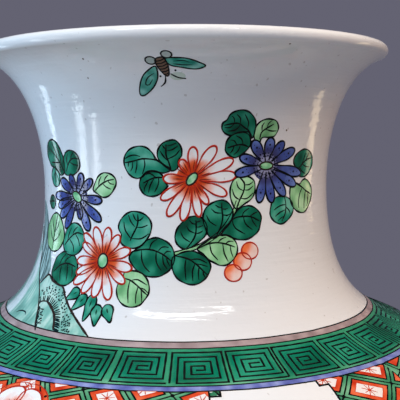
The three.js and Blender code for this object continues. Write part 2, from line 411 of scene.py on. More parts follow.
# Leaves on the neck, by angle and height: kind, outline, main vein and side veins
NECK_LEAVES = (
    (JADE,
     ((-21.5, 523.5), (-20.9, 527), (-19, 529.6), (-16, 530.9), (-13.3, 530.3), (-11.3, 528), (-10, 525),
      (-8.2, 523.2), (-5.2, 520.6), (-7.5, 519), (-10.5, 519.6), (-13.5, 519), (-15, 517.3), (-17, 516.6),
      (-19, 517.5), (-20.6, 519.8)),
     ((-5.2, 520.5), (-9, 524.2), (-12, 525.2), (-15, 525.3), (-18, 524.3), (-21.3, 523.5)),
     (((-21, 525.3), (-19.5, 526.5), (-17.5, 527), (-15.5, 526.3)),
      ((-14.2, 525.2), (-14, 522.5), (-15, 518.5)), ((-16.7, 524.8), (-16.9, 522), (-17.5, 519)),
      ((-18.3, 524.5), (-18.5, 521.5), (-19.2, 519.8)), ((-19.8, 524), (-20, 521.8)))),
    (DARK,
     ((-5, 520), (-7.5, 522.5), (-9.3, 525.5), (-9.5, 528), (-8.8, 530.5), (-7.3, 532.5), (-5.2, 533.4),
      (-3.6, 533.5), (-2.2, 532), (-1.4, 529.5), (-1.4, 526.5), (-2.4, 525), (-2.6, 522), (-3.3, 520.5)),
     ((-5, 520.5), (-5.8, 524), (-6.6, 527), (-6.5, 531.7)),
     (((-8.7, 529), (-7.5, 526.5), (-6.2, 524.5)), ((-7.8, 531.3), (-6.9, 529.7)),
      ((-2, 529.2), (-3.5, 526.8), (-6, 525.3)), ((-2.6, 531), (-4.5, 529.3), (-6.4, 528.8)),
      ((-3, 532.3), (-4.8, 531.3), (-6.4, 531)))),
    (DARK,
     ((-15.6, 516.6), (-16.2, 513.5), (-15.3, 510.7), (-13.8, 509), (-11.6, 508.6), (-9.5, 509.3),
      (-8.2, 510.5), (-6.3, 513.2), (-7.2, 514.8), (-7.8, 517), (-8.6, 518.8), (-10.8, 520.1), (-13, 519.7),
      (-14.8, 518)),
     ((-7.6, 517), (-11, 516.8), (-14.8, 514.5)),
     (((-9.3, 516.9), (-9.5, 514), (-10.8, 510.5)), ((-11, 516.6), (-12.3, 513.5), (-13, 510.3)),
      ((-12.8, 515.8), (-14.3, 512.5), (-14.5, 510.8)), ((-10.3, 517), (-12.2, 518.8), (-13.8, 518.2)))),
    (DARK,
     ((11.8, 539.3), (12.2, 541), (13.3, 542), (14.3, 544.5), (16.3, 546), (18.6, 546.4), (21, 545.2),
      (23, 542.5), (23.6, 539), (23.4, 536.3), (22.6, 534.2), (21, 536.8), (18.5, 536.7), (16, 535.8),
      (14.8, 535.3), (13, 536.3), (12, 537.8)),
     ((22.6, 535), (21, 537.5), (19.5, 538.8), (18.2, 540), (16.5, 540.7), (12.5, 539.8)),
     (((20.6, 538.3), (20.8, 541), (19.3, 544.5)), ((18, 540.2), (17.8, 542.8), (16.5, 544.5)),
      ((16, 540.8), (15.6, 543), (14.8, 543.8)), ((18, 540), (16.5, 537.8), (14, 537.2)),
      ((15.8, 540.3), (14.5, 538.8), (12.8, 538.8)))),
    (DARK,
     ((13.3, 530), (13.6, 532.5), (14.8, 534.8), (16.8, 536.3), (19.2, 536.8), (21.3, 535.6), (22.2, 533),
      (22.2, 531), (20.8, 528.5), (18.5, 526.3), (16.5, 525.5), (14.5, 526.8), (13.4, 528.5)),
     ((21.8, 530), (19.5, 531.2), (17, 531), (14, 529.8)),
     (((19.5, 531.2), (18.8, 533.8), (16.8, 535.2)), ((17.3, 531.1), (16.3, 533), (15, 533.3)),
      ((18.5, 530.8), (17.8, 528.5), (16.3, 526.8)), ((16.3, 530.6), (15.8, 528.6), (15, 527.6)))),
    (LIGHT,
     ((23.3, 535), (23.5, 538.5), (24.8, 541), (27, 542.4), (29.5, 542.4), (31.5, 541.5), (32.7, 538.8),
      (32.3, 536.5), (31.3, 534.8), (29.2, 534.4), (26.5, 534.2), (25.6, 531.8), (24.3, 532.5)),
     ((25.6, 533.5), (26, 536.5), (28, 538.5), (30.5, 540.3)),
     (((26.2, 537), (26, 539.5), (26.8, 541)), ((28, 538.5), (28.3, 540.5), (29.6, 541.9)),
      ((27.4, 538), (30, 537.2), (32, 537.3)))),
    (DARK,
     ((41.9, 523), (43, 526), (45.5, 528), (48.5, 528.6), (51.5, 527.3), (53.8, 524.5), (54, 521),
      (52.3, 518), (49.8, 516), (47.5, 515.5), (45.5, 516.3), (44.5, 518.5), (43.5, 520)),
     ((45, 519.5), (47.5, 522), (50, 523.8), (52.8, 524.3)),
     (((46.5, 521), (47.8, 524), (48.6, 526.8)), ((49, 523.2), (50.2, 525.5), (50.8, 527)),
      ((47, 521.6), (49.5, 520.3), (51.8, 520)), ((45.7, 520), (47.5, 518), (49.5, 517)))),
    (LIGHT,
     ((40.5, 508), (41, 511.5), (43.5, 512.7), (46, 512.1), (47.3, 513.5), (49.5, 514.4), (52.2, 512.8),
      (54.2, 509.5), (54.4, 506.5), (53, 503.3), (50.8, 500.3), (48.3, 498.6), (45.5, 499), (43, 500.6),
      (41, 503.5)),
     ((43.5, 512.5), (47, 511), (50, 508.8), (53.5, 507)),
     (((47.8, 510.6), (46.2, 508), (45.2, 504), (45.3, 501)), ((50, 509), (49, 505.5), (48.5, 500.5)),
      ((51.6, 508), (51.3, 504), (50.5, 501.5)))),
    (JADE,
     ((30.8, 499.5), (31.3, 503), (32.5, 505.8), (34.5, 507), (37.5, 507), (40, 505.8), (41.8, 503.2),
      (42, 500), (40.3, 497.2), (38, 495.2), (35.3, 494.4), (33, 495.5), (31.5, 497.3)),
     ((37.7, 506.5), (38.3, 503), (37.8, 499), (36, 495.5)),
     (((38.3, 503.2), (35.5, 502.8), (32.5, 501)), ((38.1, 500.8), (35.5, 499.8), (33, 498)),
      ((37.5, 498), (35.5, 497), (34.3, 496)), ((38.4, 502), (40, 500), (40.3, 498.5)))),
    (LIGHT,
     ((17.4, 502.5), (15.8, 506), (15.3, 509.5), (15.6, 513), (16.8, 515.8), (19, 517.3), (21.8, 516.9),
      (24.2, 515), (24.7, 511.5), (24.2, 508.5), (22.8, 506.3), (20.5, 504.6)),
     ((17.5, 503), (19, 507), (20.3, 510.5), (20.5, 514), (18.5, 516.8)),
     (((20.4, 511), (22, 510.8), (23.8, 512.5)), ((20.5, 513.2), (22.5, 513.3), (23.9, 514.6)),
      ((19.2, 507.2), (21.5, 507), (24, 509.5)), ((19, 506.5), (17, 508), (16, 511.5)),
      ((20.2, 510.5), (18.3, 512), (17.6, 514.8)))),
    (DARK,
     ((-3.2, 487.5), (-3.9, 490.5), (-3.2, 494), (-1.5, 497), (0.5, 499), (3, 499.8), (5.2, 499), (6.8, 496),
      (6.9, 493), (6, 490.5), (3.5, 487.7), (1.5, 486), (0, 485.3), (-1.5, 485.6)),
     ((0, 485.7), (1.8, 488.5), (3, 491.5), (3.3, 495), (3.2, 498)),
     (((-2, 493), (-1, 490.3), (1.2, 488.3)), ((0, 495.5), (1, 493.3), (2.9, 492.2)),
      ((1, 498), (2, 496.5), (3.2, 496.2)), ((5.5, 493.2), (4.4, 492.3), (3, 492)),
      ((5.6, 495.5), (4.5, 495), (3.2, 494.8)), ((4.8, 497.7), (3.9, 497.2), (3.2, 497)))),
    (DARK,
     ((8.7, 489.8), (7.5, 491), (6.5, 494), (5.8, 497), (5.7, 499.7), (6.5, 502.8), (8.3, 505),
      (10.8, 506.4), (13, 506.5), (15, 504.8), (16.1, 502), (16.1, 499.5), (14.8, 496.5), (12.5, 493.5),
      (10.3, 490.5)),
     ((10.3, 491.3), (11.8, 495), (12.5, 499), (12.3, 502.5), (12.2, 505.5)),
     (((6.9, 500), (8, 497.2), (10.3, 495.2)), ((8.5, 503), (10, 501.2), (12.3, 500.8)),
      ((10, 504.6), (11, 503.6), (12.3, 503.3)), ((15.3, 500.5), (14, 499.7), (12.5, 500.2)),
      ((14.5, 503), (13.5, 502.5), (12.4, 502.8)))),
    (DARK,
     ((11.8, 491.2), (14.5, 495.5), (16.3, 499), (18, 502), (20.5, 503.5), (23.2, 503.4), (25.6, 501.6),
      (27, 498.5), (26.6, 495.3), (25.5, 492), (23.3, 489.8), (20.5, 488.6), (17.8, 488.8), (15.5, 489.7),
      (13.5, 490.8)),
     ((14.8, 496.8), (17, 498.5), (20, 499), (23, 498.6), (26.3, 496.5)),
     (((19.5, 499), (20.3, 501), (22.3, 502.6)), ((22.5, 498.8), (24, 500), (25.8, 500.8)),
      ((15.8, 497.4), (17, 493.8), (20.5, 491)), ((20, 499), (20.8, 495.5), (23.3, 492.8)),
      ((23, 498.5), (23.6, 496.5), (25, 494)))),
    (LIGHT,
     ((3.5, 485.4), (6, 487.8), (8.5, 489.8), (11.3, 491.1), (14, 491), (16.2, 489), (17.3, 486),
      (17, 482.8), (15.5, 480), (13.3, 478), (10.8, 477.9), (8.8, 479.3), (7.5, 480.3), (5.7, 482.7)),
     ((3.5, 485.5), (8, 487.6), (12, 487.5), (16.5, 485.5)),
     (((10.5, 487.7), (11.8, 489.3), (13.5, 490)), ((13, 487), (14.5, 488.2), (16, 488)),
      ((7.8, 487.4), (8.3, 483.5), (10.3, 480.2)), ((12.2, 487.2), (12.6, 483), (13.8, 479.3)),
      ((14.8, 486.4), (15, 483.5), (15.6, 481)))),
    (DARK,
     ((-4.7, 481.5), (-4.8, 477.5), (-3.8, 474), (-1.8, 471.5), (1, 470.1), (3.8, 470.5), (6.2, 473),
      (7.7, 476.5), (7.5, 479.3), (6, 481.8), (3.5, 483.7), (1, 484.4), (-1.2, 483.9), (-3, 482.9)),
     ((-4.3, 482.4), (-1.5, 481.8), (0.8, 480.8), (3, 478.7), (5.3, 475.7), (6.6, 474)),
     (((-0.2, 481.3), (-0.6, 477.5), (-0.3, 472)), ((2.7, 479), (1.8, 475.5), (1.9, 471.5)),
      ((4, 477.7), (3.7, 474.5), (3.8, 472)), ((5.2, 476), (5.3, 474.3), (5.8, 473)),
      ((1.5, 480.7), (4, 480.8), (6.6, 479)), ((3.2, 478.8), (5, 478.3), (6.8, 477.5)))),
    (JADE,
     ((-22.8, 491), (-24, 494), (-23.6, 497), (-22.3, 499.3), (-20.5, 501), (-18.3, 501.8), (-15, 500.9),
      (-13, 499), (-12, 496.2), (-12.2, 492.8), (-13.2, 490), (-14.5, 488), (-16.3, 486), (-18.5, 485.3),
      (-21.5, 486.2), (-23, 488)),
     ((-19.5, 488.5), (-18.7, 491), (-17.5, 494), (-16.8, 497), (-16.9, 500.5)),
     (((-22, 497), (-21.5, 493.5), (-20, 490.8), (-19.2, 489.5)),
      ((-20.3, 500), (-19.3, 497), (-17.8, 494.8)), ((-18.7, 500.8), (-17.9, 498.5), (-16.9, 497.2)),
      ((-12.8, 492), (-15.5, 489.7), (-18.8, 489.6)), ((-13.3, 495.8), (-15.3, 494.7), (-17.4, 494.7)),
      ((-14.7, 499.5), (-15.9, 498), (-16.9, 497.6)))),
    (DARK,
     ((-19.5, 481), (-18.6, 483.5), (-16.8, 485.2), (-15, 487), (-13.2, 489.2), (-10.5, 490.2),
      (-8.3, 489.6), (-6, 487.8), (-4.6, 485.3), (-4, 482), (-4.4, 478.7), (-5.8, 476), (-7, 474.8),
      (-8.8, 473.5), (-12.5, 473.3), (-14.5, 474.5), (-16.5, 475.8), (-18.3, 478.3)),
     ((-18.8, 483.7), (-15, 484.9), (-11.5, 484.8), (-8, 483), (-5, 480)),
     (((-15.2, 484.5), (-15, 480.5), (-13.8, 477.3), (-12, 475.2)),
      ((-10.2, 484.3), (-10, 479.5), (-8.3, 476)), ((-8, 482.9), (-7.6, 479), (-6.3, 476.6)),
      ((-6.8, 481.8), (-6.2, 479.5), (-5.4, 477.8)), ((-12.5, 485), (-11.8, 487.8), (-9.8, 489.7)),
      ((-9.5, 484.5), (-8, 486.2), (-6, 486)), ((-7.5, 483), (-6.5, 484.3), (-5.2, 484)))),
    (LIGHT,
     ((-20.5, 474.8), (-17.5, 475.5), (-14.8, 474.6), (-12.9, 472.3), (-11.9, 469), (-12, 466),
      (-13.2, 463.2), (-14.5, 461.3), (-17, 460.5), (-19.5, 461.3), (-21.5, 463.5), (-22.6, 466.8),
      (-22.4, 469.5), (-21, 472.8)),
     ((-21, 472.2), (-18.5, 471.5), (-16, 469.5), (-13.5, 466.8), (-12.2, 465.5)),
     (((-18.5, 471.3), (-18.7, 467), (-18, 462)), ((-15.5, 468.8), (-15.9, 465.5), (-15.6, 462)),
      ((-14.5, 467.8), (-14, 465), (-13.8, 462.6)), ((-18, 471.4), (-15.8, 471.8), (-12.7, 469.7)),
      ((-15, 468.5), (-13.5, 468), (-12.2, 466.5)))),
    (LIGHT,
     ((-34.8, 511), (-33.8, 514.2), (-32.2, 517.3), (-29.8, 518.9), (-27, 518.3), (-25.3, 516.5), (-25, 514),
      (-26.2, 511), (-28, 508.5), (-30.5, 507.7), (-32.8, 509.2)),
     ((-34, 510.5), (-31.5, 513.3), (-28.5, 515.3), (-25.8, 516)),
     (((-32.3, 512.3), (-32, 515), (-31, 517.3)), ((-30, 514.5), (-29.3, 516.5), (-28, 518)),
      ((-30.5, 514), (-28.8, 512.3), (-27, 511.5)), ((-28.3, 515.3), (-27.3, 514), (-25.7, 513.8)))),
    (DARK,
     ((-63.5, 526), (-62.5, 530), (-60, 533), (-57, 534), (-54, 533), (-51.8, 530), (-50.5, 526.5),
      (-49.8, 522), (-50.5, 518.5), (-53, 517), (-55.5, 519), (-58, 520.5), (-61, 521.5)),
     ((-50.5, 518.5), (-53, 523), (-56.5, 527), (-61, 530)),
     (((-52, 521.5), (-52.3, 526), (-54, 531)), ((-54.5, 525), (-55.5, 529), (-57.5, 532.5)),
      ((-53, 523), (-56.5, 523), (-60, 523)))),
    (JADE,
     ((-61.5, 516), (-60, 519.5), (-57.5, 521), (-55, 519.5), (-54, 515.5), (-55, 512.3), (-57.5, 511.3),
      (-60, 512.5)),
     ((-57.5, 521), (-57.5, 516.5), (-58, 512)),
     (((-57.5, 518.5), (-56, 516.5), (-55, 514)), ((-57.5, 518.5), (-59, 516.5), (-60, 514)))),
    (DARK,
     ((-50.3, 524.5), (-48.8, 527.3), (-46.5, 528.8), (-44, 528.8), (-41.8, 527), (-40.7, 524), (-41, 521.3),
      (-42.5, 519), (-44.7, 517.6), (-47, 517.2), (-49.5, 517.5), (-51, 520.5)),
     ((-49, 519), (-46.8, 523.3), (-44, 525.3), (-41.3, 525)),
     (((-47.8, 521.8), (-48, 525), (-46.8, 527.5)), ((-45.5, 524.3), (-45, 526.5), (-43.6, 528)),
      ((-46.3, 523.6), (-44, 522.3), (-41.6, 522.2)))),
    (DARK,
     ((-64.5, 503.5), (-62.5, 506.5), (-60, 506.5), (-58.3, 504), (-59.5, 500.8), (-62, 500.5)),
     ((-64, 503.3), (-61.5, 504), (-59, 504)),
     (((-62, 503.8), (-61, 505.5)),)),
    (LIGHT,
     ((-65, 489), (-63.5, 493.5), (-60, 497.5), (-56.5, 498.5), (-53.5, 496.5), (-51, 492), (-50, 487.5),
      (-51.5, 483), (-54.5, 480.5), (-58.5, 480.3), (-62.5, 482.8)),
     ((-57.5, 481), (-57.8, 486), (-57, 492), (-56, 498)),
     (((-57.7, 484.5), (-60.5, 488), (-62, 492)), ((-57.6, 489), (-59.5, 492.5), (-60.5, 496)),
      ((-57.6, 484.5), (-54.5, 487), (-52.5, 491)), ((-57, 489.5), (-55.3, 492), (-54.3, 495)))),
    (JADE,
     ((-50, 485.5), (-49, 490.5), (-46.5, 494), (-43.5, 495), (-40.5, 493.3), (-38.7, 489.5), (-38.7, 485.5),
      (-40.3, 482), (-43, 480), (-46.5, 480.2), (-49, 482.2)),
     ((-49, 484), (-46, 488), (-42.5, 490.5), (-39.2, 490)),
     (((-47.5, 486.3), (-47, 489.5), (-45.8, 492.5)), ((-45, 489), (-44, 491.5), (-42.3, 493.3)),
      ((-46.5, 487.3), (-44, 484.5), (-43.2, 481.5)), ((-43.5, 490), (-41.5, 487.5), (-40.5, 484.5)))),
    (DARK,
     ((-54, 473), (-53, 477.5), (-50, 480.5), (-46.5, 481.2), (-43, 480.2), (-40.5, 477), (-39.8, 472.5),
      (-41, 468.8), (-44, 466.2), (-47.5, 466.3), (-51, 467.7), (-53.5, 469.8)),
     ((-53, 471), (-49.5, 474.5), (-45.5, 476), (-41, 475)),
     (((-50, 474), (-49.5, 477), (-47.5, 480)), ((-47.5, 475.4), (-46.3, 478), (-44.3, 479.3)),
      ((-48.5, 475), (-48.6, 471.5), (-47.3, 467.8)), ((-45.5, 476), (-44.6, 472), (-44, 468)),
      ((-43, 475.6), (-42.2, 473), (-41.8, 470.5)))),
)

# Chrysanthemums on the neck: middle, its half width, half height and turn, and each petal's tip and width
RED, BLUE = "red", "blue"
NECK_CHRYSANTHEMUMS = (
    (RED, (2, 516.3), (3.2, 1.8, 50), (
        (2.5, 530.4, 4.2), (10, 530.6, 4.6), (16.2, 524.6, 4.6), (17.3, 517.5, 4.8), (14, 509, 4.3),
        (7.4, 505, 3.2), (4.4, 499.5, 3.6), (-1.3, 497.8, 4.0), (-6.3, 499.9, 4.3), (-8.6, 507.3, 4.0),
        (-7.7, 516.5, 4.2), (-1.8, 524.8, 3.6))),
    (RED, (-29.3, 479), (2.6, 3.3, 0), (
        (-33.7, 493.8, 4.6), (-28, 494, 4.6), (-23.6, 490.8, 4), (-19.3, 484.6, 4.3), (-18.3, 476.3, 4.5),
        (-20.3, 470, 4), (-24.8, 462.8, 4.3), (-30.3, 463.2, 4.3), (-35.3, 464.4, 4.2), (-39.9, 467.8, 4.5),
        (-39.8, 472.5, 4), (-40.5, 478, 4.2), (-38.7, 486, 4), (-38.5, 490.5, 4))),
    (BLUE, (29, 521.5), (3.6, 1.75, 0), (
        (23.2, 532.9, 5), (30.3, 534.2, 5.2), (36, 532.3, 4.6), (41.8, 528.6, 4.8), (46.3, 517.3, 4.6),
        (43.5, 511.8, 4.6), (37.9, 507.2, 4.8), (31.8, 504.5, 4.6), (26.2, 504.9, 4.6), (17, 518, 4.4),
        (18.6, 525.8, 4.4))),
    (BLUE, (-43, 507.3), (3.4, 2.2, -30), (
        (-53, 515, 4.8), (-46.8, 517.5, 4), (-40.2, 518.4, 4.4), (-35.2, 515.6, 4), (-31, 506, 4),
        (-31.3, 496.8, 4.4), (-36.5, 492, 4.6), (-40.8, 497, 4), (-49.5, 492, 4.4), (-53.5, 497, 4.6),
        (-55.3, 502, 4.4), (-57.8, 507, 4.4))),
)

NECK_STEMS = (
    ((-4.2, 483.2), (3, 485.8), (8, 489.2), (11.5, 492.3)),
    ((11.5, 492.3), (14.5, 497), (17, 502.5), (18, 506)),
)
BERRIES = (((21.8, 483.5), 4.1), ((18.8, 479), 4.3), ((15.2, 474.3), 4.1))
BAMBOO_LEAVES = (
    ((-37, 465), (-41, 460.7)), ((-33.5, 463), (-37, 457)), ((-30.5, 463.3), (-31, 453.5)),
    ((-28.0, 459.5), (-26.6, 452.3)), ((-24.8, 460), (-22.2, 454.2)))
BAMBOO_SHAPE = ((0.02, 0.75), (0.28, 1.0), (0.62, 0.62))
BAMBOO_HALF = 2.9

ROCK_TOP = (
    (-100, 462), (-92, 478), (-84, 486), (-78, 492), (-74, 490), (-68.5, 478), (-64.8, 469.5),
    (-61.5, 465.5), (-59.5, 464.4), (-55.5, 469.2), (-51.4, 467), (-47.8, 466.1), (-44.6, 465.4),
    (-42.1, 462), (-38.4, 458), (-34.9, 455), (-31, 451.8), (-26.9, 448.6))
ROCK_RIDGE = (
    (-74, 490), (-68.5, 478), (-64.8, 469.5), (-57.6, 461.5), (-52.9, 455.9), (-50.5, 452.6),
    (-47.2, 448.6))
ROCK_ARCH = (
    (-52.9, 455.9), (-52.6, 457.5), (-49.6, 458.2), (-46.8, 457), (-43.1, 454.3), (-41, 451.5),
    (-39.3, 448.9))
ROCK_HOOK = ((-63, 450.3), (-60.7, 451.6), (-57.5, 451.8), (-56.2, 451))
ROCK_COLUMN = (
    (-75, 503), (-70, 501), (-65.5, 494), (-60, 483), (-56.5, 475), (-55.5, 470), (-59.5, 464.8),
    (-64.5, 469.8), (-68.5, 478.5), (-74, 491))

# Hatching in the rock: a line, the strokes' turns and reaches along it, and the numbers of strokes and dots
ROCK_HATCHES = (
    (ROCK_ARCH[2:], (105, 55, 0, -8), (3.6, 4.2, 4.6, 4.8), 19, 85),
    (ROCK_ARCH[:3], (140, 120, 110), (2.6, 3.0, 3.4), 5, 16),
    (ROCK_RIDGE[4:], (-12, -24, -34), (3.2, 3.6, 3.8), 9, 24))

# The back of the neck has the same drawing the other way round, so two angles that add up to this match
BACK_TURN = 178

# The bee, by angle and height
BEE_WINGS = (
    ((-5, 567.5), (0, 567.5), (3.5, 566), (5.5, 564.5), (3, 563.3), (-1, 564), (-4, 565)),
    ((-8, 564.5), (-10.3, 562.8), (-12, 560.5), (-13.3, 556.5), (-13.5, 553.3), (-12.3, 552.8), (-10, 555),
     (-8.3, 558), (-7.6, 561)))
BEE_WING_VEINS = (
    ((-8.6, 561.8), (-10.6, 560), (-11.4, 557.4), (-10.4, 557.2), (-9.2, 559.3)),
    ((-3, 566.4), (-0.5, 566.6), (1.2, 565.9)), ((-3.2, 565.4), (-0.5, 565), (2, 564.9)))
BEE_EYES = ((-9, 566.8), (-4.7, 569))
BEE_EYE = (2.3, 1.95)
BEE_EYE_TURN = -20
BEE_LEGS = (((-4, 561.5), (-2, 560), (0.3, 559.5)), ((-5.5, 560.5), (-5.7, 558), (-7, 556.3)))
BEE_DOTS = ((-6.9, 560.5), (-2.6, 562.8))
BEE_SMUDGE = (-2, 560.5)
BEE_HEAD, BEE_TAIL = (-6.8, 567.6), (-4.9, 560.9)
BEE_BODY = ((0.0, 1.6), (0.3, 2.3), (0.65, 1.9), (1.0, 0.7))
BEE_STRIPES = (0.1, 0.26, 0.42, 0.58, 0.74, 0.88)
KILN_SPECKS = (((25.8, 573.2), 0.55), ((-27.7, 568.3), 0.5), ((-29.1, 560.7), 0.4), ((36.5, 537.5), 0.5))

# The body and foot, in millimetres up the outline from the foot's edge
FOOT_LILAC_LOW = 4.0
FOOT_FRET_LOW = 8.0
FOOT_FRET_HIGH = 25.0
FOOT_FRET_EDGE = 1.8
FOOT_FRETS = 30
FOOT_FRET_GAP = 0.6
LAPPET_LOW = 33.0
LAPPET_HIGH = 70.0
LAPPETS = 24
LAPPET_HALF = 7.1
BODY_BLUE_LOW = 78.0
BODY_LOW = 81.5

# Each scene is in degrees from its own middle. Boughs: width, then places. Heads: place and radius
SCENE_MIDDLES = (15.6, 105.6, 195.6, 285.6)
SCENE_BOUGHS = (
    (5.5, ((-24, 118), (-17, 170), (-22, 215), (-10, 255), (-6, 300), (-14, 345))),
    (3.6, ((-17, 170), (-2, 188), (12, 194), (25, 215))),
    (3.0, ((-22, 215), (-30, 235), (-34, 262))),
    (3.6, ((-10, 255), (0, 268), (12, 285), (24, 300), (36, 318))),
    (3.0, ((-6, 300), (4, 335), (12, 360), (20, 380))),
    (2.6, ((-14, 345), (-26, 362), (-36, 376))),
    (2.4, ((31, 92), (34, 116), (29, 138), (33, 160))),
)
SCENE_HEADS = (
    ((25, 215), 21), ((-33, 264), 22), ((12, 286), 25), ((36, 322), 21), ((-13, 343), 25), ((-35, 380), 18),
    ((21, 381), 20), ((34, 168), 13))
SCENE_ROCK = (
    (-38, 6), (-35, 30), (-31, 44), (-27, 40), (-22, 62), (-16, 74), (-11, 66), (-6, 42), (-2, 46),
    (4, 30), (8, 8))
ROCK_HOLLOWS = (
    ((-31, 12), (-30, 28), (-27, 30), (-24, 22), (-23, 8)),
    ((-18, 22), (-17, 46), (-13, 50), (-9, 40), (-8, 20)), ((-2, 10), (-1, 24), (2, 24), (4, 12)))
SCENE_FLIERS = (((3, 240), 13, 35), ((40, 268), 11, -20), ((-25, 318), 10, 160), ((4, 398), 9, 20))


# A stroke of the brush: the share of its width that is its raised top, how far its corners are drawn out at
# most, and how far from its ends it can taper
STROKE_TOP = 0.78
SHARPEST_CORNER = 0.6
TAPER_REACH = 2.5


class Coat:
    """Enamel laid on the glaze: closed strokes, patches and bands, gathered into one piece."""

    def __init__(self, seed=0):
        self.points, self.faces, self.paints = [], [], []
        self.hand = random.Random(seed)
        self.weight = bpy.context.scene.vase_pattern.line_weight

    def add(self, points, faces, paints):
        first = len(self.points)
        self.points += points
        self.faces += [tuple(first + corner for corner in face) for face in faces]
        self.paints += paints

    def stroke(
            self, places, width, colour, lift=LINE_BASE, closed=False, taper=0.0, swell=0.0, waver=0.12):
        """A brush line along places that already lie close together. It can taper to a share of its width
        at both ends, and swell in the middle."""
        count = len(places)
        centres = [on_glaze(place) for place in places]
        normals = [upright(place) for place in places]
        phase = self.hand.uniform(0, 6.3)
        points, paints = [], []
        run = [0.0]
        for a, b in zip(centres, centres[1:]):
            run.append(run[-1] + (b - a).length / MM)
        for i, (centre, normal) in enumerate(zip(centres, normals)):
            before = centres[i - 1] if closed or i else None
            after = centres[(i + 1) % count] if closed or i < count - 1 else None
            first = (centre - before) if before is not None else (after - centre)
            second = (after - centre) if after is not None else (centre - before)
            side_in = normal.cross(first).normalized()
            side_out = normal.cross(second).normalized()
            side = (side_in + side_out).normalized()
            mitre = 1 / max(SHARPEST_CORNER, side.dot(side_out))
            half = self.weight * width / 2 * (1 + waver * math.sin(phase + run[i] * 0.9)) * MM
            half *= 1 + swell * math.sin(math.pi * run[i] / run[-1]) ** 4
            if taper and not closed:
                end = min(run[i], run[-1] - run[i])
                half *= taper + (1 - taper) * ease(0, min(TAPER_REACH, run[-1] / 2), end)
            for reach, height in ((-1, BEDDED), (-STROKE_TOP, lift), (STROKE_TOP, lift), (1, BEDDED)):
                points.append(centre + side * (reach * half * mitre) + normal * (height * MM))
                paints.append((*colour, 1.0))
        faces = []
        for i in range(count if closed else count - 1):
            a, b = 4 * i, 4 * ((i + 1) % count)
            faces += [(a + k, b + k, b + (k + 1) % 4, a + (k + 1) % 4) for k in range(4)]
        if not closed:
            faces += [(0, 1, 2, 3), tuple(4 * (count - 1) + k for k in (3, 2, 1, 0))]
        self.add(points, faces, paints)

    def patch(self, outline, centre, shade, lift=0.0, thickness=0.11, step=1.3):
        """A pool of enamel inside a closed outline that is seen whole from its centre."""
        if clockwise(outline):
            outline = outline[::-1]
        count = len(outline)
        radius = sum(span(centre, place) for place in outline) / count
        bevel = min(0.4, 0.28 / radius)
        inner = max(2, round(radius / step))
        top = [(1.0, BEDDED), (1 - bevel * 0.35, lift + thickness * 0.7), (1 - bevel, lift + thickness)]
        top += [((1 - bevel) * (inner - k) / inner, lift + thickness) for k in range(1, inner)]
        under = [(1 - k / 3, BEDDED) for k in range(1, 3)]

        def ring(share, height):
            for place in outline:
                inward = part_way(centre, place, share)
                points.append(on_glaze(inward, height))
                paints.append(shade(inward, share))

        points, paints, faces = [], [], []
        for share, height in top + under:
            ring(share, height)
        for height in (lift + thickness, BEDDED):
            points.append(on_glaze(centre, height))
            paints.append(shade(centre, 0.0))
        rings = [list(range(k * count, (k + 1) * count)) for k in range(len(top) + len(under))]
        down = [rings[0], *rings[len(top) :]]
        pairs = [(i, (i + 1) % count) for i in range(count)]
        for low, high in zip(rings[: len(top)], rings[1 : len(top)]):
            faces += [(low[i], low[j], high[j], high[i]) for i, j in pairs]
        for low, high in zip(down, down[1:]):
            faces += [(low[j], low[i], high[i], high[j]) for i, j in pairs]
        crown, pit = len(points) - 2, len(points) - 1
        last_top, last_down = rings[len(top) - 1], down[-1]
        faces += [(last_top[i], last_top[j], crown) for i, j in pairs]
        faces += [(last_down[j], last_down[i], pit) for i, j in pairs]
        self.add(points, faces, paints)

    def band(self, low, high, shade, thickness, turns=480, step=1.6, wander=None):
        """A ring of enamel round the vase between two lengths. The shade is called as a patch's is."""
        rows = max(1, math.ceil((high - low) / step))
        edge = min(0.3, (high - low) / 5)
        across = [(low + (high - low) * k / rows, BEDDED) for k in range(rows + 1)]
        across += [(high - edge + (low - high + 2 * edge) * k / rows, thickness) for k in range(rows + 1)]
        points, paints = [], []
        for i in range(turns):
            angle = 360 * i / turns
            shift = wander(angle) if wander else 0.0
            for length, height in across:
                place = (angle, length + shift)
                points.append(on_glaze(place, height))
                paints.append(shade(place, 0.0))
        size = len(across)
        faces = []
        for i in range(turns):
            a, b = size * i, size * ((i + 1) % turns)
            faces += [(a + k, a + (k + 1) % size, b + (k + 1) % size, b + k) for k in range(size)]
        self.add(points, faces, paints)

    def curtain(self, columns, shade, lift=0.0, thickness=0.11, step=1.6):
        """Enamel between a lower and an upper place at each of a row of angles."""
        rows = max(2, max(math.ceil(span((a, low), (a, high)) / step) for a, low, high in columns))
        points, paints, faces = [], [], []
        last = len(columns) - 1
        for layer in (BEDDED, lift + thickness):
            for i, (angle, low, high) in enumerate(columns):
                for k in range(rows + 1):
                    rim = i in (0, last) or k in (0, rows)
                    place = (angle, low + (high - low) * k / rows)
                    points.append(on_glaze(place, layer if not rim else min(layer, 0.0)))
                    paints.append(shade(place, 1.0 if rim else 0.5))
        size = rows + 1
        total = size * len(columns)
        for i in range(last):
            for k in range(rows):
                a, b = i * size + k, (i + 1) * size + k
                faces.append((a, a + 1, b + 1, b))
                faces.append((total + a, total + b, total + b + 1, total + a + 1))
        border = [(i, 0) for i in range(last)] + [(last, k) for k in range(rows)]
        border += [(i, rows) for i in range(last, 0, -1)] + [(0, k) for k in range(rows, 0, -1)]
        for (i, k), (j, m) in zip(border, border[1:] + border[:1]):
            a, b = i * size + k, j * size + m
            faces.append((a, b, total + b, total + a))
        self.add(points, faces, paints)

    def dot(self, place, radius, colour, lift=0.0, cover=1.0, squash=1.0, turn=0.0):
        outline = Spot(place, turn).oval(radius, squash * radius, 12)
        self.patch(outline, place, plain(colour, cover), lift, thickness=0.1)

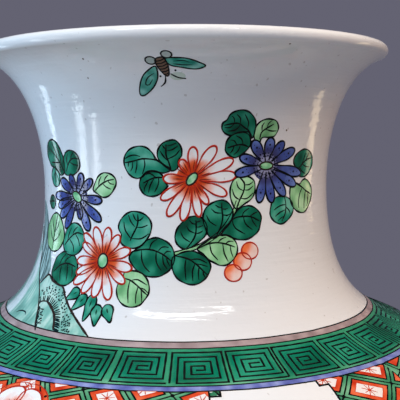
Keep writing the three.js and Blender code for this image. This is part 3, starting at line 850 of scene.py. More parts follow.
    def lay(self, name, finish):
        """Makes the piece."""
        mesh = bpy.data.meshes.new(name)
        mesh.from_pydata(self.points, [], self.faces)
        mesh.shade_smooth()
        paint = mesh.color_attributes.new("paint", "FLOAT_COLOR", "POINT")
        paint.data.foreach_set("color", [value for colour in self.paints for value in colour])
        mesh.materials.append(finish)
        piece = bpy.data.objects.new(name, mesh)
        bpy.context.scene.collection.objects.link(piece)
        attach(piece, BODY)
        return piece


class Maths:
    """A shader socket that Python's operators work on, by adding Math nodes."""

    def __init__(self, tree, socket):
        self.tree = tree
        self.socket = socket

    def _math(self, operation, *values):
        return self.tree.add("ShaderNodeMath", {"operation": operation}, *values)

    def __add__(self, other):
        return self._math("ADD", self, other)

    def __mul__(self, other):
        return self._math("MULTIPLY", self, other)

    __radd__ = __add__
    __rmul__ = __mul__


class Shader:
    """A material's node tree, with one method that adds any node."""

    def __init__(self, name):
        self.material = bpy.data.materials.new(name)
        self.material.use_nodes = True
        self.tree = self.material.node_tree
        self.surface = self.tree.nodes["Principled BSDF"]

    def add(self, kind, settings, *values, output=0, **named):
        """Adds a node, applies its settings, then fills its sockets in order and by name."""
        node = self.tree.nodes.new(kind)
        for name, value in settings.items():
            if name == "stops":
                self.colour_stops(node.color_ramp, value)
            else:
                setattr(node, name, value)
        for key, value in [*enumerate(values), *named.items()]:
            self.fill(node.inputs[key], value)
        return Maths(self, node.outputs[output])

    def colour_stops(self, ramp, stops):
        for place, value in stops[1:-1]:
            ramp.elements.new(place)
        for element, (place, value) in zip(ramp.elements, stops):
            element.position = place
            element.color = (value, value, value, 1)

    def fill(self, socket, value):
        if isinstance(value, Maths):
            self.tree.links.new(value.socket, socket)
        elif value is not None:
            socket.default_value = value

    def mix(self, share, a, b):
        """A colour between two colours."""
        node = self.tree.nodes.new("ShaderNodeMix")
        node.data_type = "RGBA"
        for index, value in ((0, share), (6, a), (7, b)):
            self.fill(node.inputs[index], value)
        return Maths(self, node.outputs[2])

    def noise(self, scale, detail=3.0, stretch=None):
        """Noise of 0 to 1 in the object's own metres, drawn out along the axes where stretch is given."""
        where = self.add("ShaderNodeTexCoord", {}, output="Object")
        if stretch:
            where = self.add("ShaderNodeVectorMath", {"operation": "MULTIPLY"}, where, stretch)
        return self.add("ShaderNodeTexNoise", {}, where, Scale=scale, Detail=detail)

    def set(self, **values):
        """Fills the surface's sockets. An underscore in a name stands for a space."""
        for name, value in values.items():
            self.fill(self.surface.inputs[name.replace("_", " ")], value)


def white_glaze(shader, white):
    """The glazed porcelain's colour: cool white with faint clouds and pin-prick specks from the kiln."""
    mottle = shader.noise(22.0, 3.0)
    warmer = (white[0], white[1] * 0.985, white[2] * 0.955, 1)
    cooler = (white[0] * 0.965, white[1] * 0.985, white[2], 1)
    tone = shader.mix(mottle, warmer, cooler)
    stops = ((0.0, 0.0), (0.8, 0.0), (0.84, 1.0), (1.0, 1.0))
    grit = shader.add("ShaderNodeValToRGB", {"stops": stops}, shader.noise(430.0, 0.0))
    return shader.mix(0.4 * grit, tone, (0.36, 0.31, 0.27, 1))


def glaze_ripple(shader):
    """The faint throwing rings and orange peel under the glaze."""
    rings = shader.noise(1.0, 2.0, (34.0, 34.0, 420.0))
    swell = shader.noise(26.0, 1.0)
    peel = shader.noise(300.0, 2.0)
    height = 1.6 * rings + 1.8 * swell + 0.75 * peel
    return shader.add("ShaderNodeBump", {}, Height=height, Strength=1.0, Distance=0.00012)


GLAZE_ROUGHNESS = 0.09


def porcelain(white):
    shader = Shader("porcelain_glaze")
    colour, ripple = white_glaze(shader, white), glaze_ripple(shader)
    shader.set(Base_Color=colour, Roughness=GLAZE_ROUGHNESS, IOR=1.5, Normal=ripple)
    return shader.material


def biscuit():
    shader = Shader("bare_biscuit")
    grain = shader.noise(900.0, 4.0)
    colour = shader.mix(grain, (*hue(214, 196, 168), 1), (*hue(182, 158, 128), 1))
    bump = shader.add("ShaderNodeBump", {}, Height=grain, Strength=0.6, Distance=0.0002)
    shader.set(Base_Color=colour, Roughness=0.75, Normal=bump)
    return shader.material


def painted(name, white, roughness, streaks, depth, mirror=0.5):
    """Enamel: its own colour where the coat covers, and the white glaze where it thins out."""
    shader = Shader(name)
    paint = shader.add("ShaderNodeAttribute", {"attribute_name": "paint"})
    cover = Maths(shader, paint.socket.node.outputs["Alpha"])
    brush = shader.noise(streaks, 2.0, (1.0, 1.0, 0.45))
    pool = shader.noise(streaks / 5, 2.0)
    darker = shader.add("ShaderNodeVectorMath", {"operation": "SCALE"}, paint, Scale=1 - depth)
    lighter = shader.add("ShaderNodeVectorMath", {"operation": "SCALE"}, paint, Scale=1 + depth)
    colour = shader.mix(0.55 * brush + 0.45 * pool, darker, lighter)
    shader.set(
        Base_Color=shader.mix(cover, white_glaze(shader, white), colour),
        Roughness=GLAZE_ROUGHNESS + (roughness - GLAZE_ROUGHNESS) * cover,
        IOR=1.5, Specular_IOR_Level=mirror,
        Normal=shader.add("ShaderNodeBump", {}, Height=brush, Strength=0.5, Distance=0.000025))
    return shader.material


class VaseGlazeSettings(bpy.types.PropertyGroup):
    white: FloatVectorProperty(
        name="Porcelain white", description="Colour of the body under the clear glaze",
        default=(0.84, 0.845, 0.85), subtype="COLOR", min=0, max=1)


class VasePatternSettings(bpy.types.PropertyGroup):
    line_weight: FloatProperty(
        name="Line weight", description="Width of the drawn lines against the width they have here",
        default=1.0, min=0.2, max=2)
    fret_units: IntProperty(
        name="Fret units behind", description="Spirals of the fret on the far side",
        default=21, min=4, max=60)


class VaseStudioSettings(bpy.types.PropertyGroup):
    eye_height: FloatProperty(
        name="Eye height", description="Camera above the floor",
        default=0.5353, subtype="DISTANCE", unit="LENGTH")
    eye_distance: FloatProperty(
        name="Eye distance", description="Camera from the vase's axis",
        default=0.4222, subtype="DISTANCE", unit="LENGTH")
    pitch: FloatProperty(
        name="Pitch", description="Downward tilt of the camera",
        default=math.radians(4.67), subtype="ANGLE", unit="ROTATION")
    yaw: FloatProperty(
        name="Yaw", description="Turn of the camera to the right",
        default=math.radians(1.01), subtype="ANGLE", unit="ROTATION")
    roll: FloatProperty(
        name="Roll", description="Turn of the picture",
        default=math.radians(-0.45), subtype="ANGLE", unit="ROTATION")
    lens: FloatProperty(name="Lens", description="Focal length", default=70.8, subtype="DISTANCE_CAMERA")
    floor_radius: FloatProperty(
        name="Floor radius", description="Reach of the pale floor",
        default=0.62, subtype="DISTANCE", unit="LENGTH")


FINISHES = {}


def finish(name):
    """A finish of this vase, made the first time it is asked for."""
    if name not in FINISHES:
        white = (*bpy.context.scene.vase_glaze.white, 1)
        FINISHES[name] = {
            "glaze": lambda: porcelain(white),
            "biscuit": biscuit,
            "enamel": lambda: painted("translucent_enamel", white, 0.1, 900.0, 0.3, 0.4),
            "ground": lambda: painted("band_enamel", white, 0.14, 900.0, 0.3, 0.14),
            "iron": lambda: painted("iron_red", white, 0.36, 1100.0, 0.2, 0.25),
            "ink": lambda: painted("drawn_line", white, 0.4, 1500.0, 0.25, 0.15),
            "opaque": lambda: painted("opaque_enamel", white, 0.22, 700.0, 0.22),
        }[name]()
    return FINISHES[name]


def turn_section(name, runs):
    """A thrown section: smooth runs of a half section turned about Z. Each run is places, outward
    directions and a finish, and the runs go round the wall anticlockwise."""
    rings, bands = [], []
    for run, coating in runs:
        previous = None
        for place, outward in run:
            if not rings or (place - rings[-1]).length > 1e-6:
                rings.append(place)
            index = len(rings) - 1
            if previous and previous[0] != index:
                bands.append((*previous, index, outward, coating))
            previous = (index, outward)
    if (rings[-1] - rings[0]).length < 1e-6:
        rings.pop()
        bands = [(a, out_a, b % len(rings), out_b, coating) for a, out_a, b, out_b, coating in bands]
    turns = [(math.sin(math.tau * k / ROUND), -math.cos(math.tau * k / ROUND)) for k in range(ROUND)]
    points, starts = [], []
    for place in rings:
        starts.append(len(points))
        if place.x < 1e-6:
            points.append((0, 0, place.y * MM))
        else:
            points += [(place.x * x * MM, place.x * y * MM, place.y * MM) for x, y in turns]
    faces, normals, coatings = [], [], []
    for a, out_a, b, out_b, coating in bands:
        for k in range(ROUND):
            following = (k + 1) % ROUND
            corners = [(a, out_a, k), (a, out_a, following), (b, out_b, following), (b, out_b, k)]
            if rings[a].x < 1e-6:
                del corners[1]
            elif rings[b].x < 1e-6:
                del corners[2]
            faces.append(tuple(
                starts[ring] + (0 if rings[ring].x < 1e-6 else turn) for ring, outward, turn in corners))
            normals += [
                (outward.x * turns[turn][0], outward.x * turns[turn][1], outward.y)
                for ring, outward, turn in corners]
            coatings.append(coating)
    mesh = bpy.data.meshes.new(name)
    mesh.from_pydata(points, [], faces)
    mesh.shade_smooth()
    mesh.polygons.foreach_set("material_index", coatings)
    mesh.normals_split_custom_set(normals)
    mesh.materials.append(finish("glaze"))
    mesh.materials.append(finish("biscuit"))
    piece = bpy.data.objects.new(name, mesh)
    bpy.context.scene.collection.objects.link(piece)
    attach(piece, BODY)
    return piece


GLAZED, UNGLAZED = 0, 1


def flat_run(a, b, outward, coating=GLAZED):
    return [(Vector(a), Vector(outward)), (Vector(b), Vector(outward))], coating


def wall_runs(low, high):
    """Both faces of the wall between two seams, and its two butt faces."""
    outer = outside.run(outside.length_at(low), outside.length_at(high))
    inner = inside.run(inside.length_at(high), inside.length_at(low))
    top = flat_run(outer[-1][0], inner[0][0], (0, 1), UNGLAZED)
    bottom = flat_run(inner[-1][0], outer[0][0], (0, -1), UNGLAZED)
    return [(outer, GLAZED), top, (inner, GLAZED), bottom]


def neck_runs():
    inner = inside.run(inside.lengths[-1], inside.length_at(NECK_SEAM))
    lip = [outside.at(CREST + (outside.lengths[-1] - CREST) * k / 4) for k in range(5)]
    rising = outside.length_at(FLARE_END.y)
    roll = [outside.at(rising + (CREST - rising) * k / 16) for k in range(17)]
    outer = outside.run(outside.length_at(NECK_SEAM), rising) + roll[1:] + lip[1:] + inner[1:]
    return [(outer, GLAZED), flat_run(inner[-1][0], outer[0][0], (0, -1), UNGLAZED)]


def curved(places, steps=6):
    """Places and outward directions on an arc-like curve through three given corners."""
    a, b, c = (Vector(place) for place in places)
    run = []
    for k in range(steps + 1):
        t = k / steps
        place = (1 - t) ** 2 * a + 2 * t * (1 - t) * b + t * t * c
        heading = ((1 - t) * (b - a) + t * (c - b)).normalized()
        run.append((place, Vector((heading.y, -heading.x))))
    return run


def foot_runs():
    """Base, recess, resting ring and the start of the wall."""
    rest_outer = FOOT_RADIUS - FOOT_BEVEL
    rest_inner = rest_outer - FOOT_REST
    recess = rest_inner - FOOT_SPLAY
    floor = RECESS_DEPTH + BASE_THICKNESS
    wall_foot = inside.at(inside.length_at(FOOT_SEAM - SEAM_RIDGE_HALF))[0]
    ceiling = [
        (Vector((radius, RECESS_DEPTH)), Vector((0, -1)))
        for radius in (0, recess / 2, recess - RECESS_FILLET)]
    corner = curved((
        (recess - RECESS_FILLET, RECESS_DEPTH), (recess, RECESS_DEPTH),
        (recess, RECESS_DEPTH - RECESS_FILLET)))
    splay_end = Vector((rest_inner - FOOT_BEVEL / 4, FOOT_BEVEL / 2))
    splay_heading = (splay_end - Vector((recess, RECESS_DEPTH - RECESS_FILLET))).normalized()
    splay_outward = Vector((splay_heading.y, -splay_heading.x))
    splay = flat_run((recess, RECESS_DEPTH - RECESS_FILLET), splay_end, splay_outward)
    inner_edge = curved((splay_end, (rest_inner - 0.1, 0.2), (rest_inner, 0)))
    rest = flat_run((rest_inner, 0), (rest_outer, 0), (0, -1), UNGLAZED)
    outer_edge = curved(((rest_outer, 0), (FOOT_RADIUS - 0.5, 0.3), (FOOT_RADIUS, FOOT_BEVEL)))
    outer = outside.run(0, outside.length_at(FOOT_SEAM))
    inner = inside.run(inside.length_at(FOOT_SEAM), inside.length_at(FOOT_SEAM - SEAM_RIDGE_HALF))
    top = flat_run(outer[-1][0], inner[0][0], (0, 1), UNGLAZED)
    bowl = curved((wall_foot, (wall_foot.x, floor), (wall_foot.x - BASE_FILLET, floor)), 12)
    bottom = [
        (Vector((radius, floor)), Vector((0, 1)))
        for radius in (wall_foot.x - BASE_FILLET, wall_foot.x / 2, 0)]
    return [
        (ceiling, GLAZED), (corner, GLAZED), splay, (inner_edge, UNGLAZED), rest, (outer_edge, UNGLAZED),
        (outer, GLAZED), top, (inner, GLAZED), (bowl, GLAZED), (bottom, GLAZED)]


class VASE_OT_porcelain(bpy.types.Operator):
    """Turn and glaze the five thrown sections"""

    bl_idname = "vase.porcelain"
    bl_label = "Porcelain"

    def execute(self, context):
        sections = {
            "neck": neck_runs(),
            "shoulder": wall_runs(BELLY[1], NECK_SEAM),
            "belly": wall_runs(LOWER_SEAM, BELLY[1]),
            "lower_body": wall_runs(FOOT_SEAM, LOWER_SEAM),
            "foot": foot_runs(),
        }
        for node, runs in sections.items():
            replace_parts(turn_section("glazed_" + node, runs), node)
        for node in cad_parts.values():
            node.data.materials.clear()
            node.data.materials.append(finish("glaze"))
        return {"FINISHED"}


def cloud(place, size, seed=0):
    """Soft noise over the glaze, mostly between -1 and 1, with swells of the given size in millimetres."""
    shift = Vector((seed * 17.3, seed * 5.9, seed * 11.1))
    return 1.6 * noise.noise(on_glaze(place) / (size * MM) + shift)


def pooled(colours, seed=0, size=6.0, cover=1.0):
    """Enamel that has pooled deeper here and thinner there."""
    deep, mid, light = colours

    def shade(place, share):
        tone = cloud(place, size, seed)
        return (*(blend(mid, light, tone) if tone > 0 else blend(mid, deep, -tone)), cover)

    return shade


def plain(colour, cover=1.0):
    """Enamel of one colour."""
    return lambda place, share: (*colour, cover)


def below(distance):
    """The length at a distance below the neck band's upper edge."""
    return BAND_TOP - distance


def middle(places):
    return tuple(sum(place[axis] for place in places) / len(places) for axis in (0, 1))


def beside(places, distance):
    """The same line moved to its left by a distance in millimetres."""
    moved = []
    for i, place in enumerate(places):
        spot = Spot(place)
        before, after = places[max(i - 1, 0)], places[min(i + 1, len(places) - 1)]
        heading = (spot.flat(after) - spot.flat(before)).normalized()
        moved.append(spot.place(-heading.y * distance, heading.x * distance))
    return moved


class Motif:
    """One subject of the painting, with a coat for each kind of colour that it needs."""

    def __init__(self, name, seed=0):
        self.name = name
        self.seed = seed
        self.coats = {}

    def __getitem__(self, kind):
        return self.coats.setdefault(kind, Coat(self.seed + len(self.coats)))

    def lay(self):
        for kind, coat in self.coats.items():
            coat.lay(f"{self.name}_{kind}", finish(kind))


def mirrored_neck(points):
    """Places at the back of the neck, for the same drawing the other way round."""
    return neck([(BACK_TURN - angle, height) for angle, height in points])


def neck_sides(name, seed):
    """A motif and a way to place it, for the front of the neck and for the back."""
    return (Motif("front_" + name, seed), neck), (Motif("back_" + name, seed + 50), mirrored_neck)


def paint_leaf(motif, kind, outline, vein, sides, level=0.0, seed=0, step=1.1):
    """A leaf with a main vein and side veins."""
    rim = smooth(outline, step, closed=True)
    motif["enamel"].patch(rim, middle(outline), pooled(LEAF_COLOURS[kind], seed), level, step=1.2 * step)
    motif["ink"].stroke(rim, 0.8, INK, LINE_BASE + level, closed=True, waver=0.3)
    motif["ink"].stroke(smooth(vein, step), 0.9, INK, LINE_BASE + level, taper=0.6)
    for side in sides:
        motif["ink"].stroke(smooth(side, step), 0.8, INK, LINE_BASE + level, taper=0.5)


# A leaf's half width at shares of its length, as shares of its width
LEAF_SHAPE = ((0.0, 0.07), (0.16, 0.34), (0.42, 0.5), (0.68, 0.43), (0.88, 0.24))


def grow_leaf(motif, kind, base, turn, length, width, level, seed):
    """A leaf that grows from a place in a direction and bends a little."""
    spot = Spot(base, turn)
    bend = 0.14 * length * math.sin(3.7 * seed)

    def at(share, across):
        return spot.place(length * share, width * across + 4 * bend * share * (1 - share))

    left = [at(share, half) for share, half in LEAF_SHAPE]
    right = [at(share, -half) for share, half in reversed(LEAF_SHAPE)]
    vein = [at(share, 0) for share in (0, 0.3, 0.6, 0.94)]
    sides = [
        [at(share, 0), at(share + 0.11, side * 0.2), at(share + 0.16, side * 0.38)]
        for share in (0.16, 0.36, 0.56) for side in (-1, 1)]
    paint_leaf(motif, kind, [*left, at(1, 0), *right], vein, sides, level, seed, step=1.9)


def paint_stem(motif, places, width, colours, level=0.0):
    line = smooth(places, 1.3)
    motif["enamel"].stroke(line, width, colours[1], level + 0.1)
    for side in (-0.5, 0.5):
        motif["ink"].stroke(beside(line, side * width), FINE_LINE, INK, LINE_BASE + level)


# A petal's half width at shares of its reach, as shares of its width
PETAL_SHAPE = ((0.15, 0.2), (0.4, 0.34), (0.66, 0.5), (0.86, 0.44), (0.965, 0.24))


def outline_along(spot, start, axis, width, shape, tip=1.0):
    """An outline on both sides of an axis, with half widths at shares of it, and its tip at a share."""
    side = Vector((-axis.y, axis.x)).normalized() * width
    left = [start + axis * share + side * half for share, half in shape]
    right = [start + axis * share - side * half for share, half in reversed(shape)]
    return [spot.place(*point) for point in (*left, start + axis * tip, *right)]


def petal_outline(spot, tip, width):
    """A petal from near a flower's middle out to its tip."""
    return outline_along(spot, Vector((0, 0)), spot.flat(tip), width, PETAL_SHAPE)


def red_petal(spot, tip, core, seed):
    """White, with a wash of iron red that fades out from the flower's middle."""

    def shade(place, share):
        reach = spot.flat(place).length + 0.14 * core * cloud(place, 3, seed)
        colour = blend(IRON_DEEP, IRON_MID, ease(0.35 * core, 0.8 * core, reach))
        return (*colour, 1 - ease(0.55 * core, 1.08 * core, reach))

    return shade


def blue_petal(spot, tip, core, seed):
    """Cobalt, lighter to the tip, over a greyish ring round the flower's middle."""
    length = spot.flat(tip).length
    lightness = 0.35 + 0.5 * cloud(tip, 9, seed + 3)

    def shade(place, share):
        reach = spot.flat(place).length
        lighter = lightness * ease(0.5 * length, length, reach) + 0.3 * cloud(place, 4, seed)
        body = blend(COBALT_MID, COBALT_LIGHT, lighter)
        colour = blend(COBALT_DEEP, body, ease(0.6 * core, core, reach))
        return (*blend(STIPPLED, colour, ease(0.3 * core, 0.6 * core, reach)), 0.96)

    return shade


PETALS = {RED: ("iron", IRON_LINE, red_petal), BLUE: ("enamel", INK, blue_petal)}


def tinted(colours):
    """Petals of one enamel, deeper towards the flower's middle."""
    deep, mid, light = colours

    def petal(spot, tip, core, seed):
        length = spot.flat(tip).length

        def shade(place, share):
            outward = spot.flat(place).length / length + 0.2 * cloud(place, 5, seed)
            return (*blend(blend(deep, mid, 2 * outward), light, 2 * outward - 1), 0.96)

        return shade

    return petal


PLUM, GOLD = "plum", "gold"
PETALS[PLUM] = ("enamel", INK, tinted(PLUM_COLOURS))
PETALS[GOLD] = ("opaque", INK, tinted(GOLD_COLOURS))


def petal_ring(heart, count, reach, width, seed):
    """Tips and widths of petals round a flower's middle, as a brush varies them."""
    hand = random.Random(seed)
    spot = Spot(heart)
    start = hand.uniform(0, math.tau)
    ring = []
    for k in range(count):
        turn = start + math.tau * (k + hand.uniform(-0.12, 0.12)) / count
        far = reach * hand.uniform(0.92, 1.06)
        ring.append((*spot.around(turn, far), width))
    return ring


# Half of a peony's petal, which has a notch in its tip, and its rings: reach, number of petals and width
BROAD_SHAPE = ((0.04, 0.1), (0.34, 0.4), (0.68, 0.55), (0.9, 0.44), (1.0, 0.2))
BROAD_NOTCH = 0.93
PEONY_RINGS = ((1.0, 8, 0.74), (0.74, 7, 0.58), (0.46, 5, 0.42))
STAMENS = 16
PETAL_RISE = 0.008


def paint_peony(motif, kind, heart, radius, level, seed):
    """Three rings of broad petals round a cluster of stamens."""
    coat, line_colour, wash = PETALS[kind]
    spot = Spot(heart)
    outline_coat = "iron" if kind == RED else "ink"
    lift = level
    for ring, (share, count, width) in enumerate(PEONY_RINGS):
        petals = petal_ring(heart, count, share * radius, width * radius, seed + 31 * ring)
        for angle, length, wide in petals:
            reach = spot.flat((angle, length))
            outline = outline_along(spot, Vector((0, 0)), reach, wide, BROAD_SHAPE, BROAD_NOTCH)
            rim = smooth(outline, 2.0, closed=True)
            shade = wash(spot, (angle, length), 0.66 * share * radius, seed)
            motif[coat].patch(rim, middle(outline), shade, lift, step=2.6)
            motif[outline_coat].stroke(rim, 0.8, line_colour, LINE_BASE + lift, closed=True)
            lift += PETAL_RISE
    hand = random.Random(seed)
    motif["opaque"].dot(heart, 0.15 * radius, GOLD_COLOURS[1], lift + 0.04)
    for k in range(STAMENS):
        turn, reach = math.tau * k / STAMENS, radius * hand.uniform(0.16, 0.24)
        motif["ink"].dot(spot.around(turn, reach), 0.5, INK, lift + 0.07)


# The dark dots on a blue petal: share of its reach, millimetres aside, and radius
PETAL_DOTS = ((0.74, 0, 0.62), (0.62, 0.8, 0.3), (0.66, -0.9, 0.28), (0.84, 0.5, 0.26))
STIPPLES = 60
RAYS = 22


def paint_chrysanthemum(motif, kind, heart, pip, tips, core=11.0, line=0.72, level=0.0, seed=0):
    """A flower head of separate petals. Each tip is a place and the petal's width."""
    coat, line_colour, wash = PETALS[kind]
    spot = Spot(heart)
    hand = random.Random(seed)
    outline_coat = "iron" if kind == RED else "ink"
    disc = spot.oval(0.64 * core, 0.64 * core, 24)
    motif[coat].patch(disc, heart, wash(spot, tips[0][:2], core, seed), level - 0.01)
    for i, (angle, length, width) in enumerate(tips):
        lift = level + PETAL_RISE * i
        tip = (angle, length)
        shape = petal_outline(spot, tip, width)
        shade = wash(spot, tip, core, seed)
        motif[coat].patch(smooth(shape, 1.0, closed=True), middle(shape), shade, lift, step=0.9)
        motif[outline_coat].stroke(
            smooth(shape, 1.0), line, line_colour, LINE_BASE + lift, taper=0.6, swell=0.4)
        if kind == BLUE:
            reach = spot.flat(tip)
            side = Vector((-reach.y, reach.x)).normalized()
            for share, across, radius in PETAL_DOTS:
                dot = reach * (share + hand.uniform(-0.03, 0.03)) + side * across
                motif["ink"].dot(spot.place(*dot), radius, COBALT_DOT, LINE_BASE + lift - 0.08)
    top = level + PETAL_RISE * len(tips)
    if kind == BLUE:
        stipple_heart(motif, spot, core, top, hand)
    if kind == RED:
        for k in range(RAYS):
            turn = math.tau * (k + hand.uniform(-0.2, 0.2)) / RAYS
            ray = [spot.around(turn, share * core) for share in (0.32, 0.78)]
            motif["iron"].stroke(straight(ray, 1.5), 0.5, IRON_DARK, LINE_BASE + top, taper=0.2)
    wide, high, turn = pip
    rim = Spot(heart, turn).oval(wide, high, 20)
    motif["opaque"].patch(rim, heart, pooled(PIP_COLOURS, seed, 3.0), top + 0.03)
    motif["ink"].stroke(rim, 0.95, BROWN_INK, LINE_BASE + top + 0.03, closed=True)


def stipple_heart(motif, spot, core, top, hand):
    """Two rings of fine dots round the middle of a blue flower."""
    ring = STIPPLES // 2
    for k in range(STIPPLES):
        turn, reach = math.tau * k / ring, core * (0.4 + 0.16 * (k // ring) + 0.1 * hand.random())
        place = spot.place(reach * math.cos(turn), 0.85 * reach * math.sin(turn))
        motif["ink"].dot(place, hand.uniform(0.34, 0.5), COBALT_DOT, LINE_BASE + top - 0.06)


# The fret's two spirals, in steps across and down from the upper left corner, and their steps across
FRET_FROM_LEFT = (
    (0, 7), (0, 0), (8, 0), (8, 7), (1, 7), (1, 1), (7, 1), (7, 6), (2, 6), (2, 2), (6, 2), (6, 5),
    (3, 5), (3, 3), (5, 3), (5, 4), (3.7, 4)), 8
FRET_FROM_RIGHT = (
    (7.5, 7), (0, 7), (0, 0), (7, 0), (7, 6), (1, 6), (1, 1), (6, 1), (6, 5), (2, 5), (2, 2), (5, 2),
    (5, 4), (3, 4), (3, 3), (4.6, 3)), 7


def paint_fret_unit(ink, left, right, top, height, spiral=FRET_FROM_LEFT, width=1.08):
    """A squared spiral."""
    grid, wide = spiral
    across, down = (right - left) / wide, height / 7
    corners = [(left + x * across, top - y * down) for x, y in grid]
    ink.stroke(straight(corners, 2.6), width, INK, waver=0.16)


def line_round(motif, length, width=LINE, seed=0):
    """A line drawn round the vase by a hand that wanders a little."""
    motif["ink"].band(
        length - width / 2, length + width / 2, plain(INK), LINE_BASE, turns=540,
        wander=lambda angle: 0.14 * cloud((angle, length), 14, seed))


def clip_area(points, left, right, low, high):
    """The part of a convex outline that lies in a field."""
    for axis, edge, keep in ((0, left, 1), (0, right, -1), (1, low, 1), (1, high, -1)):
        kept = []
        for a, b in zip(points, points[1:] + points[:1]):
            a_in, b_in = keep * (a[axis] - edge) >= 0, keep * (b[axis] - edge) >= 0
            if a_in:
                kept.append(a)
            if a_in != b_in:
                kept.append(part_way(a, b, (edge - a[axis]) / (b[axis] - a[axis])))
        points = kept
        if not points:
            break
    return points


def clip_line(a, b, left, right, low, high):
    """The ends of the part of a line that lies in a field, or None."""
    start, end = 0.0, 1.0
    for axis, least, most in ((0, left, right), (1, low, high)):
        change = b[axis] - a[axis]
        if abs(change) < 1e-9:
            if not least <= a[axis] <= most:
                return None
            continue
        shares = sorted(((least - a[axis]) / change, (most - a[axis]) / change))
        start, end = max(start, shares[0]), min(end, shares[1])
    if start >= end:
        return None
    return [part_way(a, b, share) for share in (start, end)]


def flat_area(points):
    """Square millimetres of a small outline."""
    spot = Spot(middle(points))
    flat = [spot.flat(point) for point in points]
    return abs(sum(a.x * b.y - b.x * a.y for a, b in zip(flat, flat[1:] + flat[:1]))) / 2


def inset_cell(heart, edge_a, edge_b, inset):
    """Corners of a lattice cell, with its sides moved in."""
    spot = Spot(heart)
    a, b = (spot.flat((heart[0] + edge[0], heart[1] + edge[1])) for edge in (edge_a, edge_b))
    area = abs(a.x * b.y - a.y * b.x)
    share_a, share_b = 1 - 2 * inset * b.length / area, 1 - 2 * inset * a.length / area
    if min(share_a, share_b) <= 0:
        return []
    return [
        (heart[0] + (edge_a[0] * x * share_a + edge_b[0] * y * share_b) / 2,
         heart[1] + (edge_a[1] * x * share_a + edge_b[1] * y * share_b) / 2)
        for x, y in ((-1, -1), (1, -1), (1, 1), (-1, 1))]


def paint_diaper(motif, left, right, low, high, origin, edge_a, edge_b, seed=0):
    """A trellis of green strips whose cells have a red frame round a white middle with a red star."""
    field = (left, right, low, high)
    parts = max(2, round((right - left) / 1.2))
    columns = [(left + (right - left) * k / parts, low, high) for k in range(parts + 1)]
    motif["enamel"].curtain(columns, pooled(STRIP_COLOURS, seed, 9.0), thickness=0.07)
    least, most = -TRELLIS_REACH, TRELLIS_REACH
    for i in range(least, most):
        for start, along_edge in ((edge_b, edge_a), (edge_a, edge_b)):
            base = (origin[0] + i * start[0], origin[1] + i * start[1])
            ends = [(base[0] + k * along_edge[0], base[1] + k * along_edge[1]) for k in (least, most)]
            line = clip_line(*ends, *field)
            if line and span(*line) > 2:
                motif["ink"].stroke(straight(line, 3.0), 0.75, INK, LINE_BASE)
        for j in range(least, most):
            node = tuple(origin[axis] + i * edge_a[axis] + j * edge_b[axis] for axis in (0, 1))
            if left + 1 < node[0] < right - 1 and low + 1 < node[1] < high - 1:
                motif["ink"].dot(node, 0.95, INK, LINE_BASE - 0.08)
            heart = tuple(node[axis] + (edge_a[axis] + edge_b[axis]) / 2 for axis in (0, 1))
            if left - 8 < heart[0] < right + 8 and low - 12 < heart[1] < high + 12:
                paint_cell(motif, heart, edge_a, edge_b, field, seed)


def paint_cell(motif, heart, edge_a, edge_b, field, seed):
    """A red frame round a white middle with a red star, as far as the cell lies in the field."""
    frame_part = clip_area(inset_cell(heart, edge_a, edge_b, STRIP_HALF), *field)
    if len(frame_part) < 3 or flat_area(frame_part) < 5:
        return
    rim = straight(frame_part, 2.5, closed=True)
    motif["iron"].patch(rim, middle(frame_part), pooled(FRAME_COLOURS, seed, 4.0), 0.03)
    motif["ink"].stroke(rim, 0.8, INK, LINE_BASE + 0.03, closed=True)
    white_part = clip_area(inset_cell(heart, edge_a, edge_b, STRIP_HALF + FRAME_WIDTH), *field)
    if len(white_part) < 3 or flat_area(white_part) < 4:
        return
    inner = straight(white_part, 2.5, closed=True)
    motif["iron"].patch(inner, middle(white_part), plain(IRON_PALE, 0.12), 0.075)
    motif["iron"].stroke(inner, 0.3, IRON_DEEP, LINE_BASE + 0.07, closed=True)
    spot = Spot(heart, 12)
    for k in range(4):
        turn = math.pi * k / 4
        reach = 3.6 if k % 2 else 3.1
        ray = clip_line(*(spot.around(turn, side * reach) for side in (-1, 1)), *field)
        if ray and span(*ray) > 1.5:
            motif["iron"].stroke(straight(ray, 1.5), 0.55, IRON_DEEP, LINE_BASE + 0.07, taper=0.5)


